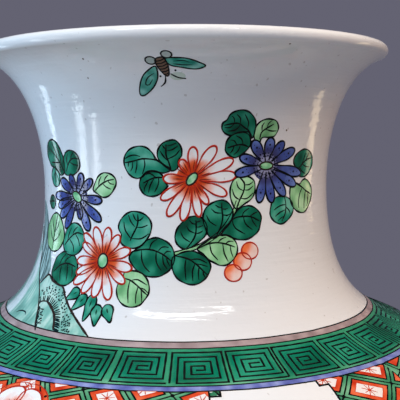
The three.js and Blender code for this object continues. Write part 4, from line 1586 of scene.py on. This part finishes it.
class VASE_OT_neck_bands(bpy.types.Operator):
    """Paint the lilac, green and blue bands round the base of the neck"""

    bl_idname = "vase.neck_bands"
    bl_label = "Neck Bands"

    def execute(self, context):
        motif = Motif("neck_bands", 1)
        motif["opaque"].band(below(LILAC_LOW), BAND_TOP, pooled(LILAC_COLOURS, 2, 5, 0.93), 0.07)
        motif["ground"].band(below(BLUE_HIGH), below(LILAC_LOW), self.ground, 0.09, turns=720, step=1.0)
        motif["opaque"].band(below(BLUE_LOW), below(BLUE_HIGH), pooled(BAND_BLUES, 2, 4, 0.95), 0.07)
        for seed, distance in enumerate((0, LILAC_LOW, BLUE_HIGH, BLUE_LOW)):
            line_round(motif, below(distance), LINE, seed)
        motif.lay()
        return {"FINISHED"}

    def ground(self, place, share):
        """Emerald, thinner towards its edges and between the spirals, and lighter round the left and the
        back with a painted sheen.
        """
        distance = BAND_TOP - place[1]
        upper = 1 - ease(LILAC_LOW, FRET_HIGH + 2.5, distance)
        lower = ease(FRET_LOW - 2.5, BLUE_HIGH, distance)
        angle = (place[0] + 180) % 360 - 180
        nearest = min(abs(angle - gap) for gap in FRET_GAPS)
        edge = max(upper, lower, 0.7 * (1 - ease(0.3, 1.6, nearest))) * (1 + 0.5 * cloud(place, 6, 4))
        # The added share lightens the left and the back: a painted sheen
        tone = cloud(place, 16, 3) + 0.3 * (1 - ease(-48, -8, angle) + ease(150, 180, angle))
        colour = blend(GROUND_COLOURS[1], GROUND_COLOURS[2 if tone > 0 else 0], abs(tone))
        margin = blend(MARGIN_COLOUR, MARGIN_PALE, lower * (0.5 + tone))
        return (*blend(colour, margin, 0.7 * min(max(edge, 0), 1)), 1.0)


class VASE_OT_fret(bpy.types.Operator):
    """Draw the squared spirals of the green band"""

    bl_idname = "vase.fret"
    bl_label = "Fret"

    def execute(self, context):
        units = list(FRET_FRONT)
        behind = context.scene.vase_pattern.fret_units
        start = FRET_FRONT[-1][1]
        pitch = (FRET_FRONT[0][0] + 360 - start - FRET_GAP) / behind
        units += [(start + FRET_GAP + k * pitch, start + (k + 1) * pitch) for k in range(behind)]
        motif = Motif("fret", 2)
        for k, (left, right) in enumerate(units):
            spiral = FRET_FROM_RIGHT if k in FRET_TURNED else FRET_FROM_LEFT
            paint_fret_unit(motif["ink"], left, right, below(FRET_HIGH), FRET_LOW - FRET_HIGH, spiral)
        motif.lay()
        return {"FINISHED"}


class VASE_OT_shoulder_border(bpy.types.Operator):
    """Paint the trellis round the shoulder with its white panels and flower heads"""

    bl_idname = "vase.shoulder_border"
    bl_label = "Shoulder Border"

    def execute(self, context):
        high, low = below(BLUE_LOW), below(BORDER_LOW)
        trellis = Motif("trellis", 3)
        for k, centre in enumerate(PANEL_CENTRES):
            self.paint_trellis(trellis, centre, low, high, k)
        trellis.lay()
        panels = Motif("white_panels", 4)
        for centre in PANEL_CENTRES:
            self.paint_panel(panels, centre, low, high)
        panels.lay()
        heads = Motif("border_flowers", 5)
        for k, centre in enumerate(PANEL_CENTRES):
            self.paint_head(heads, (centre + BORDER_HEAD_ANGLE, (low + high) / 2), k)
        heads.lay()
        edge = Motif("border_edge", 6)
        edge["opaque"].band(below(LOWER_BLUE_LOW), low, pooled(BAND_BLUES, 7, 4.0, 0.95), 0.08)
        line_round(edge, low, LINE, 8)
        line_round(edge, below(LOWER_BLUE_LOW), LINE, 9)
        edge.lay()
        return {"FINISHED"}

    def paint_trellis(self, motif, centre, low, high, seed):
        """The trellis from one panel to the next, and in the notches of their corners."""
        following = centre + 360 / len(PANEL_CENTRES)
        layouts = []
        for panel, (crossing, edge_a, edge_b), number in (
                (centre, TRELLIS_RIGHT, seed), (following, TRELLIS_LEFT, seed + 4)):
            layouts.append(((panel + crossing[0], below(crossing[1])), edge_a, edge_b, number))
        after, before = layouts
        left, right = centre + PANEL_HALF, following - PANEL_HALF
        join = centre + (following - centre) * TRELLIS_JOIN
        paint_diaper(motif, left, join, low, high, *after)
        paint_diaper(motif, join, right, low, high, *before)
        for bottom in (low, high - PANEL_STEP):
            top = bottom + PANEL_STEP
            paint_diaper(motif, centre + PANEL_NECK, left, bottom, top, *after)
            paint_diaper(motif, right, following - PANEL_NECK, bottom, top, *before)

    def paint_panel(self, motif, centre, low, high):
        """The outline at both sides of a white panel."""
        for side in (-1, 1):
            notch, wide = centre + side * PANEL_NECK, centre + side * PANEL_HALF
            corners = [
                (notch, high), (notch, high - PANEL_STEP), (wide, high - PANEL_STEP),
                (wide, low + PANEL_STEP), (notch, low + PANEL_STEP), (notch, low)]
            motif["ink"].stroke(straight(corners, 2.5), 0.8, INK, LINE_BASE + 0.09)

    def paint_head(self, motif, heart, seed):
        """A red flower head in front of a ring of broad red petals."""
        spot = Spot(heart)
        tips, behind = [], []
        for k in range(BORDER_PETALS):
            turn = math.radians(61 + 360 / BORDER_PETALS * k + 4 * math.sin(5 * k + seed))
            for ring, (reach, width) in ((tips, BORDER_FRONT_PETAL), (behind, BORDER_BACK_PETAL)):
                ring.append((*spot.around(turn, reach), width))
        for k, (angle, length, width) in enumerate(behind):
            rim = smooth(petal_outline(spot, (angle, length), width), 1.2, closed=True)
            lift = 0.01 * k
            motif["iron"].patch(rim, middle(rim), pooled(FRAME_COLOURS, seed + k, 5.0), 0.06 + lift)
            motif["iron"].stroke(rim, 0.6, IRON_LINE, LINE_BASE + 0.05 + lift, closed=True)
        paint_chrysanthemum(
            motif, RED, heart, (3.4, 3.4, 0), tips, core=12.5, line=0.8, level=0.16, seed=seed + 20)


class VASE_OT_leaves(bpy.types.Operator):
    """Paint the leaves and stems on the neck"""

    bl_idname = "vase.leaves"
    bl_label = "Leaves"

    def execute(self, context):
        for motif, side in neck_sides("leaves", 7):
            for places in NECK_STEMS:
                paint_stem(motif, side(places), 1.5, LEAF_COLOURS[LIGHT])
            for k, (kind, outline, vein, veins) in enumerate(NECK_LEAVES):
                branches = [side(line) for line in veins]
                paint_leaf(motif, kind, side(outline), side(vein), branches, 0.01 * (k % 5), k)
            motif.lay()
        return {"FINISHED"}


class VASE_OT_chrysanthemums(bpy.types.Operator):
    """Paint the red and blue flowers on the neck"""

    bl_idname = "vase.chrysanthemums"
    bl_label = "Chrysanthemums"

    def execute(self, context):
        for motif, side in neck_sides("chrysanthemums", 8):
            for k, (kind, heart, pip, tips) in enumerate(NECK_CHRYSANTHEMUMS):
                placed = [(*side([(angle, height)])[0], width) for angle, height, width in tips]
                paint_chrysanthemum(motif, kind, side([heart])[0], pip, placed, level=0.07, seed=k + 1)
            motif.lay()
        return {"FINISHED"}


class VASE_OT_berries(bpy.types.Operator):
    """Paint the red berries and the bamboo leaves"""

    bl_idname = "vase.berries"
    bl_label = "Berries and Bamboo"

    def execute(self, context):
        for motif, side in neck_sides("berries", 9):
            for k, (heart, radius) in enumerate(BERRIES):
                self.paint_berry(motif, side([heart])[0], radius, 0.02 * k)
            for k, (round_end, point) in enumerate(BAMBOO_LEAVES):
                self.paint_bamboo(motif, *side([round_end, point]), k)
            motif.lay()
        return {"FINISHED"}

    def paint_berry(self, motif, heart, radius, level):
        spot = Spot(heart)

        def shade(place, share):
            flat = spot.flat(place)
            depth = ease(-1, 1, (flat.y - flat.x) / radius + 0.4 * cloud(place, 3, 5))
            return (*blend(IRON_PALE, IRON_MID, depth), 0.45 + 0.55 * depth)

        rim = spot.oval(radius, 0.92 * radius, 26)
        motif["iron"].patch(rim, heart, shade, level, step=0.8)
        motif["iron"].stroke(rim, 0.78, IRON_LINE, LINE_BASE + level, closed=True)

    def paint_bamboo(self, motif, round_end, point, seed):
        spot = Spot(middle([round_end, point]))
        start, end = spot.flat(round_end), spot.flat(point)
        axis = end - start
        round_tip = spot.place(*(start + axis * -0.12))
        outline = [round_tip, *outline_along(spot, start, axis, BAMBOO_HALF, BAMBOO_SHAPE)]
        rim = smooth(outline, 0.9, closed=True)
        motif["enamel"].patch(rim, middle(outline), pooled(LEAF_COLOURS[JADE], seed, 4.0), 0.01 * seed)
        motif["ink"].stroke(rim, 0.8, INK, LINE_BASE + 0.01 * seed, closed=True, waver=0.3)
        mark = [spot.place(*(start + axis * share)) for share in (0.12, 0.4)]
        colour = LEAF_COLOURS[DARK][0]
        motif["ink"].stroke(straight(mark, 0.8), 1.2, colour, LINE_BASE + 0.01 * seed, taper=0.2)


class VASE_OT_rock(bpy.types.Operator):
    """Paint the turquoise rock at the left of the neck"""

    bl_idname = "vase.rock"
    bl_label = "Rock"

    def execute(self, context):
        for motif, side in neck_sides("rock", 10):
            top = sorted(side(columns_under(ROCK_TOP)))
            columns = [(angle, BAND_TOP + 0.2, high) for angle, high in top]
            motif["enamel"].curtain(columns, self.shade, 0.0, 0.08)
            column = side(ROCK_COLUMN)
            rim = smooth(column, 1.2, closed=True)
            motif["enamel"].patch(rim, middle(column), self.column_shade, 0.0, 0.095)
            for line, width in (
                    (ROCK_TOP[8:], 1.15), (ROCK_RIDGE, 0.95), (ROCK_ARCH, 0.9), (ROCK_ARCH[2:], 1.5)):
                motif["ink"].stroke(smooth(side(line), 1.3), width, BROWN_INK, LINE_BASE + 0.03, taper=0.6)
            motif["ink"].stroke(smooth(side(ROCK_HOOK), 0.8), 0.9, ROCK_INK, taper=0.3)
            for line, turns, reaches, count, dots in ROCK_HATCHES:
                paint_hatch(motif, side(line), turns, reaches, count, dots, self.roof)
            motif.lay()
        return {"FINISHED"}

    def front_angle(self, angle):
        """The angle of the same part of the drawing on the front."""
        return angle if angle < 20 else BACK_TURN - angle

    def roof(self, angle):
        """The rock's foot and top at an angle."""
        high = next((top for a, top in reversed(ROCK_TOP) if a <= self.front_angle(angle)), 448)
        return BAND_TOP, outside.length_at(high)

    def shade(self, place, share):
        """Turquoise with pale streaks of painted highlight, and darkened by painted shade to the left, where
        the vase turns away from view.
        """
        angle = self.front_angle(place[0])
        tone = cloud(place, 9, 3) + 0.8 * cloud((place[0] * 2.2, place[1] * 0.5), 5, 8)
        if tone > 0:
            colour = blend(TURQUOISE, TURQUOISE_PALE, tone)
        else:
            colour = blend(TURQUOISE, TURQUOISE_DEEP, -0.45 * tone)
        # Painted shade: darker towards the left, where the vase turns away from view
        edge = ease(-74, -80, angle) * (1 - ease(-92, -98, angle)) * (0.7 + tone)
        # Painted highlight: pale streaks of sheen just right of the painted shade
        pale = ease(-66, -70, angle) * (1 - ease(-75, -79, angle)) * (0.6 + tone)
        return (*blend(blend(colour, ROCK_SHEEN, pale), ROCK_SHADOW, edge), 0.95)

    def column_shade(self, place, share):
        """Long streaks of dark and pale."""
        tone = cloud((place[0] * 3, place[1] * 0.4), 6, 12)
        return (*blend(*COLUMN_COLOURS, 0.25 + 1.2 * tone), 0.95)


def columns_under(top):
    """Places at most a degree apart along a rising list of angles and heights."""
    columns = []
    for a, b in zip(top, top[1:]):
        parts = max(1, math.ceil(b[0] - a[0]))
        columns += [part_way(a, b, k / parts) for k in range(parts)]
    return [*columns, top[-1]]


def paint_hatch(motif, line, turns, reaches, count, dots, roof):
    """Strokes that fan out from a line, and dots beyond them, under a roof. Turns and reaches are given at
    places evenly along the line, for a line that runs to the right."""
    places = smooth(line, 0.5)
    mirrored = 1 if places[0][0] < places[-1][0] else -1
    hand = random.Random(count)

    def ray(share):
        index = min(int(share * (len(turns) - 1)), len(turns) - 2)
        part = share * (len(turns) - 1) - index
        turn = math.radians(turns[index] + (turns[index + 1] - turns[index]) * part)
        reach = reaches[index] + (reaches[index + 1] - reaches[index]) * part
        spot = Spot(places[round((len(places) - 1) * share)])
        return spot, mirrored * math.cos(turn), math.sin(turn), reach

    for k in range(count):
        spot, x, y, reach = ray((k + 0.5) / count)
        reach *= hand.uniform(0.85, 1.1)
        marks = [
            spot.place(x * reach * share, y * reach * share - 0.4 * share**2) for share in (0.0, 0.5, 1.0)]
        motif["ink"].stroke(smooth(marks, 0.8), 0.92, ROCK_INK, taper=0.75)
    across = round(count * 0.9)
    for k in range(dots):
        spot, x, y, reach = ray((k % across + hand.random()) / across)
        reach += 0.9 + 1.15 * (k // across) + hand.uniform(-0.2, 0.2)
        place = spot.place(x * reach, y * reach)
        low, high = roof(place[0])
        if low + 1 < place[1] < high - 2:
            motif["ink"].dot(place, hand.uniform(0.42, 0.58), ROCK_INK, 0.08)


# Half of an upright petal, by shares of its half width and height
LAPPET_SHAPE = ((0.94, 0.0), (1.0, 0.3), (0.96, 0.55), (0.72, 0.78), (0.3, 0.93))


def paint_lappet(motif, centre, half, low, high, seed):
    """One of a row of upright petals: a coloured rim, a white middle and a flame."""
    kind, frame_colours = (("enamel", STRIP_COLOURS), ("iron", FRAME_COLOURS))[seed % 2]

    def outline(inset):
        width, bottom, top = half * (1 - inset), low + 8 * inset, high - 14 * inset
        right = [(centre + width * x, bottom + (top - bottom) * y) for x, y in LAPPET_SHAPE]
        left = [(2 * centre - angle, length) for angle, length in reversed(right)]
        return smooth([*right, (centre, top), *left], 1.8, closed=True)

    heart = (centre, (low + high) / 2)
    layers = (
        (kind, pooled(frame_colours, seed, 6.0), 0.0), ("opaque", plain(PANEL_WHITE), 0.24),
        ("enamel", pooled(LEAF_COLOURS[JADE], seed, 5.0), 0.62))
    for step, (coat, shade, inset) in enumerate(layers):
        rim = outline(inset)
        motif[coat].patch(rim, heart, shade, 0.05 * step, step=2.2)
        motif["ink"].stroke(rim, 0.8, INK, LINE_BASE + 0.05 * step, closed=True)


class VASE_OT_foot_borders(bpy.types.Operator):
    """Paint the fret round the foot and the upright petals above it"""

    bl_idname = "vase.foot_borders"
    bl_label = "Foot Borders"

    def execute(self, context):
        motif = Motif("foot_borders", 13)
        for kind, low, high, colours in (
                ("opaque", FOOT_LILAC_LOW, FOOT_FRET_LOW, LILAC_COLOURS),
                ("ground", FOOT_FRET_LOW, FOOT_FRET_HIGH, GROUND_COLOURS),
                ("opaque", BODY_BLUE_LOW, BODY_LOW, BAND_BLUES)):
            motif[kind].band(low, high, pooled(colours, 4, 7.0), 0.08, turns=360)
        for seed, length in enumerate((
                FOOT_LILAC_LOW, FOOT_FRET_LOW, FOOT_FRET_HIGH, LAPPET_LOW - 2.5, BODY_BLUE_LOW, BODY_LOW)):
            line_round(motif, length, LINE, seed + 20)
        wide, top = 360 / FOOT_FRETS, FOOT_FRET_HIGH - FOOT_FRET_EDGE
        for k in range(FOOT_FRETS):
            spiral = FRET_FROM_LEFT if k % 2 else FRET_FROM_RIGHT
            left, right = wide * k + FOOT_FRET_GAP, wide * (k + 1) - FOOT_FRET_GAP
            height = FOOT_FRET_HIGH - FOOT_FRET_LOW - 2 * FOOT_FRET_EDGE
            paint_fret_unit(motif["ink"], left, right, top, height, spiral, 0.95)
        for k in range(LAPPETS):
            paint_lappet(motif, 360 / LAPPETS * k + 0.6, LAPPET_HALF, LAPPET_LOW, LAPPET_HIGH, k)
        motif.lay()
        return {"FINISHED"}


def paint_scene_rock(motif, place_at, seed):
    """A pierced rock that stands on the scene's ground."""
    top = sorted(place_at(angle, BODY_LOW + height) for angle, height in SCENE_ROCK)
    columns = columns_under(top)

    def roof(angle):
        return BODY_LOW + 4, next((length for at, length in reversed(columns) if at <= angle), BODY_LOW)

    def shade(place, share):
        tone = cloud(place, 16, seed) + 0.5 * cloud(place, 5, seed + 2)
        return (*blend(TURQUOISE, TURQUOISE_PALE if tone > 0 else TURQUOISE_DEEP, abs(tone)), 0.96)

    placed = [(angle, BODY_LOW + 0.4, high) for angle, high in columns]
    motif["enamel"].curtain(placed, shade, 0.03, 0.08, step=2.4)
    motif["ink"].stroke(smooth(top, 2.0), 1.5, BROWN_INK, LINE_BASE + 0.04, taper=0.6)
    for k, hollow in enumerate(ROCK_HOLLOWS):
        line = sorted(place_at(angle, BODY_LOW + height) for angle, height in hollow)
        motif["ink"].stroke(smooth(line, 2.0), 1.4, BROWN_INK, LINE_BASE + 0.04, taper=0.4)
        paint_hatch(motif, line, (150, 105, 60, 20), (5.0, 6.0, 6.0, 5.0), 16 + k, 50, roof)


def paint_ground(motif, place_at, seed):
    """Grassy ground, with blades along its edge."""
    hand = random.Random(seed)
    colour = LEAF_COLOURS[DARK][0]
    turns = [-45 + 1.5 * k for k in range(61)]
    rises = [11 + 5 * math.sin(0.14 * turn + 1.0) + 2.5 * math.sin(0.4 * turn) for turn in turns]
    top = sorted(place_at(turn, BODY_LOW + rise) for turn, rise in zip(turns, rises))
    columns = [(angle, BODY_LOW + 0.3, length) for angle, length in top]
    motif["enamel"].curtain(columns, pooled(LEAF_COLOURS[LIGHT], seed, 14.0), 0.0, 0.07, step=2.6)
    motif["ink"].stroke(smooth(top, 2.2), 0.9, INK, LINE_BASE, taper=0.6)
    for k in range(26):
        spot = Spot(top[2 + 2 * k])
        lean = hand.uniform(-2.5, 2.5)
        for blade in (-1, 0, 1):
            reach = hand.uniform(5, 9)
            marks = [
                spot.place(0.5 * blade, -1), spot.place(blade + 0.3 * lean, 0.6 * reach),
                spot.place(2.2 * blade + lean, reach)]
            motif["ink"].stroke(smooth(marks, 1.6), 0.9, colour, LINE_BASE + 0.02, taper=0.15)


# A butterfly's wings: the tip across and up, and the width, as shares of its size
FLIER_WINGS = ((1.0, 0.62, 0.62), (-1.0, 0.62, 0.62), (0.62, -0.5, 0.5), (-0.62, -0.5, 0.5))


def paint_flier(motif, place, size, turn, seed):
    """A butterfly with spotted wings."""
    colours = (GOLD_COLOURS, WING_COLOURS, PLUM_COLOURS, BAND_BLUES)[seed % 4]
    spot = Spot(place, turn)
    for k, (x, y, width) in enumerate(FLIER_WINGS):
        tip = spot.place(x * size, y * size)
        rim = smooth(petal_outline(Spot(place), tip, width * size), 1.4, closed=True)
        motif["enamel"].patch(rim, middle(rim), pooled(colours, seed + k, 4.0), 0.06 + 0.01 * k, step=2.0)
        motif["ink"].stroke(rim, 0.75, INK, LINE_BASE + 0.06 + 0.01 * k, closed=True)
        motif["ink"].dot(spot.place(0.72 * x * size, 0.72 * y * size), 0.09 * size, IRON_DARK, 0.13)
    body = [spot.place(0, 0.34 * size), spot.place(0, -0.42 * size)]
    motif["ink"].stroke(straight(body, 1.5), 0.17 * size, BROWN_INK, LINE_BASE + 0.12, taper=0.4)
    for side in (-1, 1):
        feeler = [
            spot.place(0, 0.3 * size), spot.place(0.12 * side * size, 0.6 * size),
            spot.place(0.34 * side * size, 0.82 * size)]
        motif["ink"].stroke(smooth(feeler, 1.2), 0.6, INK, LINE_BASE + 0.05)


# The kinds of the flower heads in each scene, taken in turn
SCENE_FLOWERS = ((RED, GOLD, BLUE), (BLUE, RED, PLUM), (PLUM, RED, GOLD), (RED, BLUE, RED))


class VASE_OT_body_scenes(bpy.types.Operator):
    """Paint the four flowering branches round the body, with their rocks and butterflies"""

    bl_idname = "vase.body_scenes"
    bl_label = "Body Scenes"

    def execute(self, context):
        for k, centre in enumerate(SCENE_MIDDLES):
            side = -1 if k % 2 else 1
            self.paint_scene(Motif(f"scene_{k + 1}", 60 + k), centre, side, k)
        return {"FINISHED"}

    def paint_scene(self, motif, centre, side, seed):
        def place_at(angle, length):
            return centre + side * angle, length

        paint_ground(motif, place_at, seed)
        level = 0
        for width, bough in SCENE_BOUGHS:
            line = [place_at(*place) for place in bough]
            paint_stem(motif, line, width, BARK_COLOURS, 0.01)
            level += self.leaf_bough(motif, line, seed * 40 + level)
        paint_scene_rock(motif, place_at, seed)
        for k, (heart, radius) in enumerate(SCENE_HEADS):
            self.paint_head(motif, place_at(*heart), radius, seed, k)
        for k, (place, size, turn) in enumerate(SCENE_FLIERS[seed % 2::2]):
            paint_flier(motif, place_at(*place), size, turn, k + seed)
        motif.lay()

    def leaf_bough(self, motif, line, seed):
        """Leaves at each side of a bough in turn."""
        places = smooth(line, 1.0)
        count = 0
        for index in range(14, len(places) - 12, 17):
            spot = Spot(places[index])
            heading = spot.flat(places[index + 3])
            turn = math.degrees(math.atan2(heading.y, heading.x)) + (52 if count % 2 else -52)
            kind = (DARK, JADE, LIGHT)[(seed + count) % 3]
            grow_leaf(motif, kind, places[index], turn, 23, 15, 0.06 + 0.012 * (count % 6), seed + count)
            count += 1
        return count

    def paint_head(self, motif, heart, radius, scene, k):
        """A head with leaves behind it: peonies and chrysanthemums in turn."""
        seed = 10 * scene + k
        for leaf in range(5):
            turn = 72 * leaf + 23 * seed
            spot = Spot(heart, turn)
            kind, base = (JADE, DARK, LIGHT)[leaf % 3], spot.place(0.62 * radius, 0)
            grow_leaf(motif, kind, base, turn, 26, 17, 0.06 + 0.012 * leaf, seed + leaf)
        kind = SCENE_FLOWERS[scene][k % 3]
        if k % 2 == scene % 2:
            paint_peony(motif, kind, heart, radius, 0.17, seed)
            return
        tips = petal_ring(heart, 15, radius, 0.36 * radius, seed)
        paint_chrysanthemum(
            motif, kind, heart, (0.14 * radius, 0.1 * radius, 20), tips, 0.52 * radius, 0.8, 0.17, seed)


class VASE_OT_panel_sprays(bpy.types.Operator):
    """Paint a small spray low in each white panel of the shoulder border"""

    bl_idname = "vase.panel_sprays"
    bl_label = "Panel Sprays"

    def execute(self, context):
        motif = Motif("panel_sprays", 15)
        for k, centre in enumerate(PANEL_CENTRES):
            heart = (centre, below(57))
            for leaf, turn in enumerate((200, 250, 300, 345)):
                kind, base = (DARK, LIGHT)[leaf % 2], Spot(heart, turn).place(5, 0)
                grow_leaf(motif, kind, base, turn, 11, 7.5, 0.02 * leaf, leaf + k)
            tips = petal_ring(heart, 11, 8.5, 3.4, k)
            paint_chrysanthemum(motif, (BLUE, RED)[k % 2], heart, (1.5, 1.1, 0), tips, 4.5, 0.6, 0.08, k)
        motif.lay()
        return {"FINISHED"}


class VASE_OT_bee(bpy.types.Operator):
    """Paint the bee under the lip, and the pin-pricks that the kiln left"""

    bl_idname = "vase.bee"
    bl_label = "Bee"

    def execute(self, context):
        motif = Motif("bee", 11)
        motif["enamel"].dot(neck([BEE_SMUDGE])[0], 3.4, SMUDGE_COLOUR, -0.04, cover=0.45, squash=0.6)
        for k, wing in enumerate(BEE_WINGS):
            places = neck(wing)
            rim = smooth(places, 0.9, closed=True)
            motif["enamel"].patch(rim, middle(places), pooled(WING_COLOURS, k, 3.5), step=0.8)
            motif["ink"].stroke(rim, 0.72, INK, closed=True)
        for vein in BEE_WING_VEINS:
            motif["ink"].stroke(smooth(neck(vein), 0.8), 0.6, INK, taper=0.4)
        wide, high = BEE_EYE
        for place in neck(BEE_EYES):
            motif["enamel"].dot(
                place, wide, EYE_COLOUR, -0.01, cover=0.75, squash=high / wide, turn=BEE_EYE_TURN)
            motif["ink"].stroke(Spot(place, BEE_EYE_TURN).oval(wide, high, 20), 0.72, INK, closed=True)
        self.paint_body(motif)
        for leg in BEE_LEGS:
            motif["ink"].stroke(smooth(neck(leg), 0.8), 0.75, INK, taper=0.6)
        for place in neck(BEE_DOTS):
            motif["ink"].dot(place, 0.5, INK, 0.04)
        motif.lay()
        specks = Motif("kiln_specks", 12)
        for place, radius in KILN_SPECKS:
            specks["ink"].dot(neck([place])[0], radius, SPECK_COLOUR, -0.02)
        specks.lay()
        return {"FINISHED"}

    def paint_body(self, motif):
        """The striped body, from head to tail."""
        start, end = neck([BEE_HEAD, BEE_TAIL])
        spot = Spot(middle([start, end]))
        head, body = spot.flat(start), spot.flat(end) - spot.flat(start)
        side = Vector((-body.y, body.x)).normalized()
        left = [head + body * share + side * half for share, half in BEE_BODY]
        right = [head + body * share - side * half for share, half in reversed(BEE_BODY)]
        outline = [spot.place(*point) for point in left + right]
        rim = smooth(outline, 0.8, closed=True)
        motif["opaque"].patch(rim, middle(outline), plain(BEE_BROWN), 0.03)
        motif["ink"].stroke(rim, 0.65, INK, LINE_BASE + 0.03, closed=True)
        for share in BEE_STRIPES:
            half = 2.1 - 1.3 * max(0, share - 0.4)
            stripe = [
                spot.place(*(head + body * (share + bow) + side * half * x))
                for x, bow in ((-1, 0), (0, 0.05), (1, 0))]
            motif["ink"].stroke(smooth(stripe, 0.9), 0.7, INK, LINE_BASE + 0.04)


# Soft panels: place, width and height in metres, brightness, colour, and whether the glaze mirrors it
LIGHTS = (
    ("key", (0.14, -1.02, 1.726), (0.5, 0.5), 7.5, (1.0, 0.985, 0.95), False),
    ("above", (0.05, 0.08, 1.9), (0.6, 0.6), 5.5, (1.0, 0.97, 0.92), False),
    ("front_fill", (0.0, -1.75, 0.42), (1.0, 0.5), 1.7, (1.0, 0.98, 0.98), False),
    ("ceiling_strip", (-0.05, -0.85, 1.7), (1.5, 0.11), 15.0, (1.0, 1.0, 0.99), True),
    ("left_wall", (-1.52, 0.0, 0.99), (0.8, 0.5), 9.5, (0.36, 0.68, 1.0), False),
    ("left_front", (-1.08, -1.08, 0.99), (0.8, 0.5), 3.5, (0.55, 0.78, 1.0), False),
    ("right_wall", (1.15, -0.3, 1.6), (0.8, 0.5), 7.5, (1.0, 0.6, 0.28), False),
    ("left_window_back", (-1.2, 0.62, 0.27), (0.13, 0.55), 4.5, (0.7, 0.86, 1.0), True),
    ("left_window_middle", (-1.2, -0.14, 0.24), (0.15, 0.55), 6.0, (0.8, 0.92, 1.0), True),
    ("left_window_front", (-1.2, -0.42, 0.22), (0.12, 0.45), 6.0, (0.86, 0.94, 1.0), True),
    ("right_window", (1.2, 0.45, 0.25), (0.2, 0.4), 3.0, (1.0, 0.78, 0.5), True),
)
LIGHT_TARGET = (0, 0, 0.5)
AIR_COLOUR = (0.127, 0.124, 0.168, 1)
FLOOR_COLOUR = (0.5, 0.5, 0.51, 1)


class VASE_OT_studio(bpy.types.Operator):
    """Set up the camera, the floor and the lights"""

    bl_idname = "vase.studio"
    bl_label = "Studio"

    def execute(self, context):
        settings = context.scene.vase_studio
        context.scene.view_settings.view_transform = "Standard"
        self.place_camera(context, settings)
        self.lay_floor(context, settings)
        world = bpy.data.worlds.new("studio_air")
        world.use_nodes = True
        world.node_tree.nodes["Background"].inputs[0].default_value = AIR_COLOUR
        context.scene.world = world
        for light in LIGHTS:
            self.hang_light(context, *light)
        return {"FINISHED"}

    def place_camera(self, context, settings):
        forward = Vector((
            math.sin(settings.yaw) * math.cos(settings.pitch),
            math.cos(settings.yaw) * math.cos(settings.pitch),
            -math.sin(settings.pitch)))
        right = Vector((math.cos(settings.yaw), -math.sin(settings.yaw), 0))
        upward = right.cross(forward)
        across = math.cos(settings.roll) * right + math.sin(settings.roll) * upward
        top = -math.sin(settings.roll) * right + math.cos(settings.roll) * upward
        data = bpy.data.cameras.new("studio_camera")
        data.lens = settings.lens
        data.sensor_width = 36
        data.clip_start = 0.01
        camera = bpy.data.objects.new("studio_camera", data)
        turn = Matrix((across, top, -forward)).transposed().to_4x4()
        camera.matrix_world = Matrix.Translation((0, -settings.eye_distance, settings.eye_height)) @ turn
        context.scene.collection.objects.link(camera)
        context.scene.camera = camera

    def lay_floor(self, context, settings):
        bpy.ops.mesh.primitive_circle_add(
            vertices=96, radius=settings.floor_radius, fill_type="NGON", location=(0, 0, 0))
        floor = context.object
        floor.name = "floor"
        paper = Shader("pale_floor")
        paper.set(Base_Color=FLOOR_COLOUR, Roughness=0.8)
        floor.data.materials.append(paper.material)

    def hang_light(self, context, name, place, size, brightness, colour, mirrored):
        """A soft panel that faces the vase. Its power follows from its size and how bright its face is."""
        data = bpy.data.lights.new(name, "AREA")
        data.shape = "RECTANGLE"
        data.size, data.size_y = size
        data.energy = brightness * math.pi * size[0] * size[1]
        data.color = colour
        light = bpy.data.objects.new(name, data)
        light.location = place
        aim = Vector(LIGHT_TARGET) - light.location
        light.rotation_euler = aim.to_track_quat("-Z", "Y").to_euler()
        light.visible_camera = False
        light.visible_glossy = mirrored
        context.scene.collection.objects.link(light)


class VASE_PT_sidebar(bpy.types.Panel):
    """The settings and a button for each step"""

    bl_idname = "VASE_PT_sidebar"
    bl_label = "Vase"
    bl_space_type = "VIEW_3D"
    bl_region_type = "UI"
    bl_category = "Vase"

    def draw(self, context):
        for name in SETTINGS:
            settings = getattr(context.scene, name)
            box = self.layout.box()
            for value in settings.__annotations__:
                box.prop(settings, value)
        for operator in OPERATORS:
            self.layout.operator(operator.bl_idname)


SETTINGS = {
    "vase_glaze": VaseGlazeSettings,
    "vase_pattern": VasePatternSettings,
    "vase_studio": VaseStudioSettings,
}
OPERATORS = (
    VASE_OT_porcelain, VASE_OT_neck_bands, VASE_OT_fret, VASE_OT_shoulder_border, VASE_OT_rock,
    VASE_OT_leaves, VASE_OT_chrysanthemums, VASE_OT_berries, VASE_OT_bee, VASE_OT_panel_sprays,
    VASE_OT_body_scenes, VASE_OT_foot_borders, VASE_OT_studio)
CLASSES = (*SETTINGS.values(), *OPERATORS, VASE_PT_sidebar)


def register():
    for cls in CLASSES:
        bpy.utils.register_class(cls)
    for name, cls in SETTINGS.items():
        setattr(bpy.types.Scene, name, PointerProperty(type=cls))


def unregister():
    for name in SETTINGS:
        delattr(bpy.types.Scene, name)
    for cls in reversed(CLASSES):
        bpy.utils.unregister_class(cls)


def main():
    register()
    bpy.ops.vase.porcelain()
    bpy.ops.vase.neck_bands()
    bpy.ops.vase.fret()
    bpy.ops.vase.shoulder_border()
    bpy.ops.vase.rock()
    bpy.ops.vase.leaves()
    bpy.ops.vase.chrysanthemums()
    bpy.ops.vase.berries()
    bpy.ops.vase.bee()
    bpy.ops.vase.panel_sprays()
    bpy.ops.vase.body_scenes()
    bpy.ops.vase.foot_borders()
    bpy.ops.vase.studio()


if __name__ == "__main__":
    main()
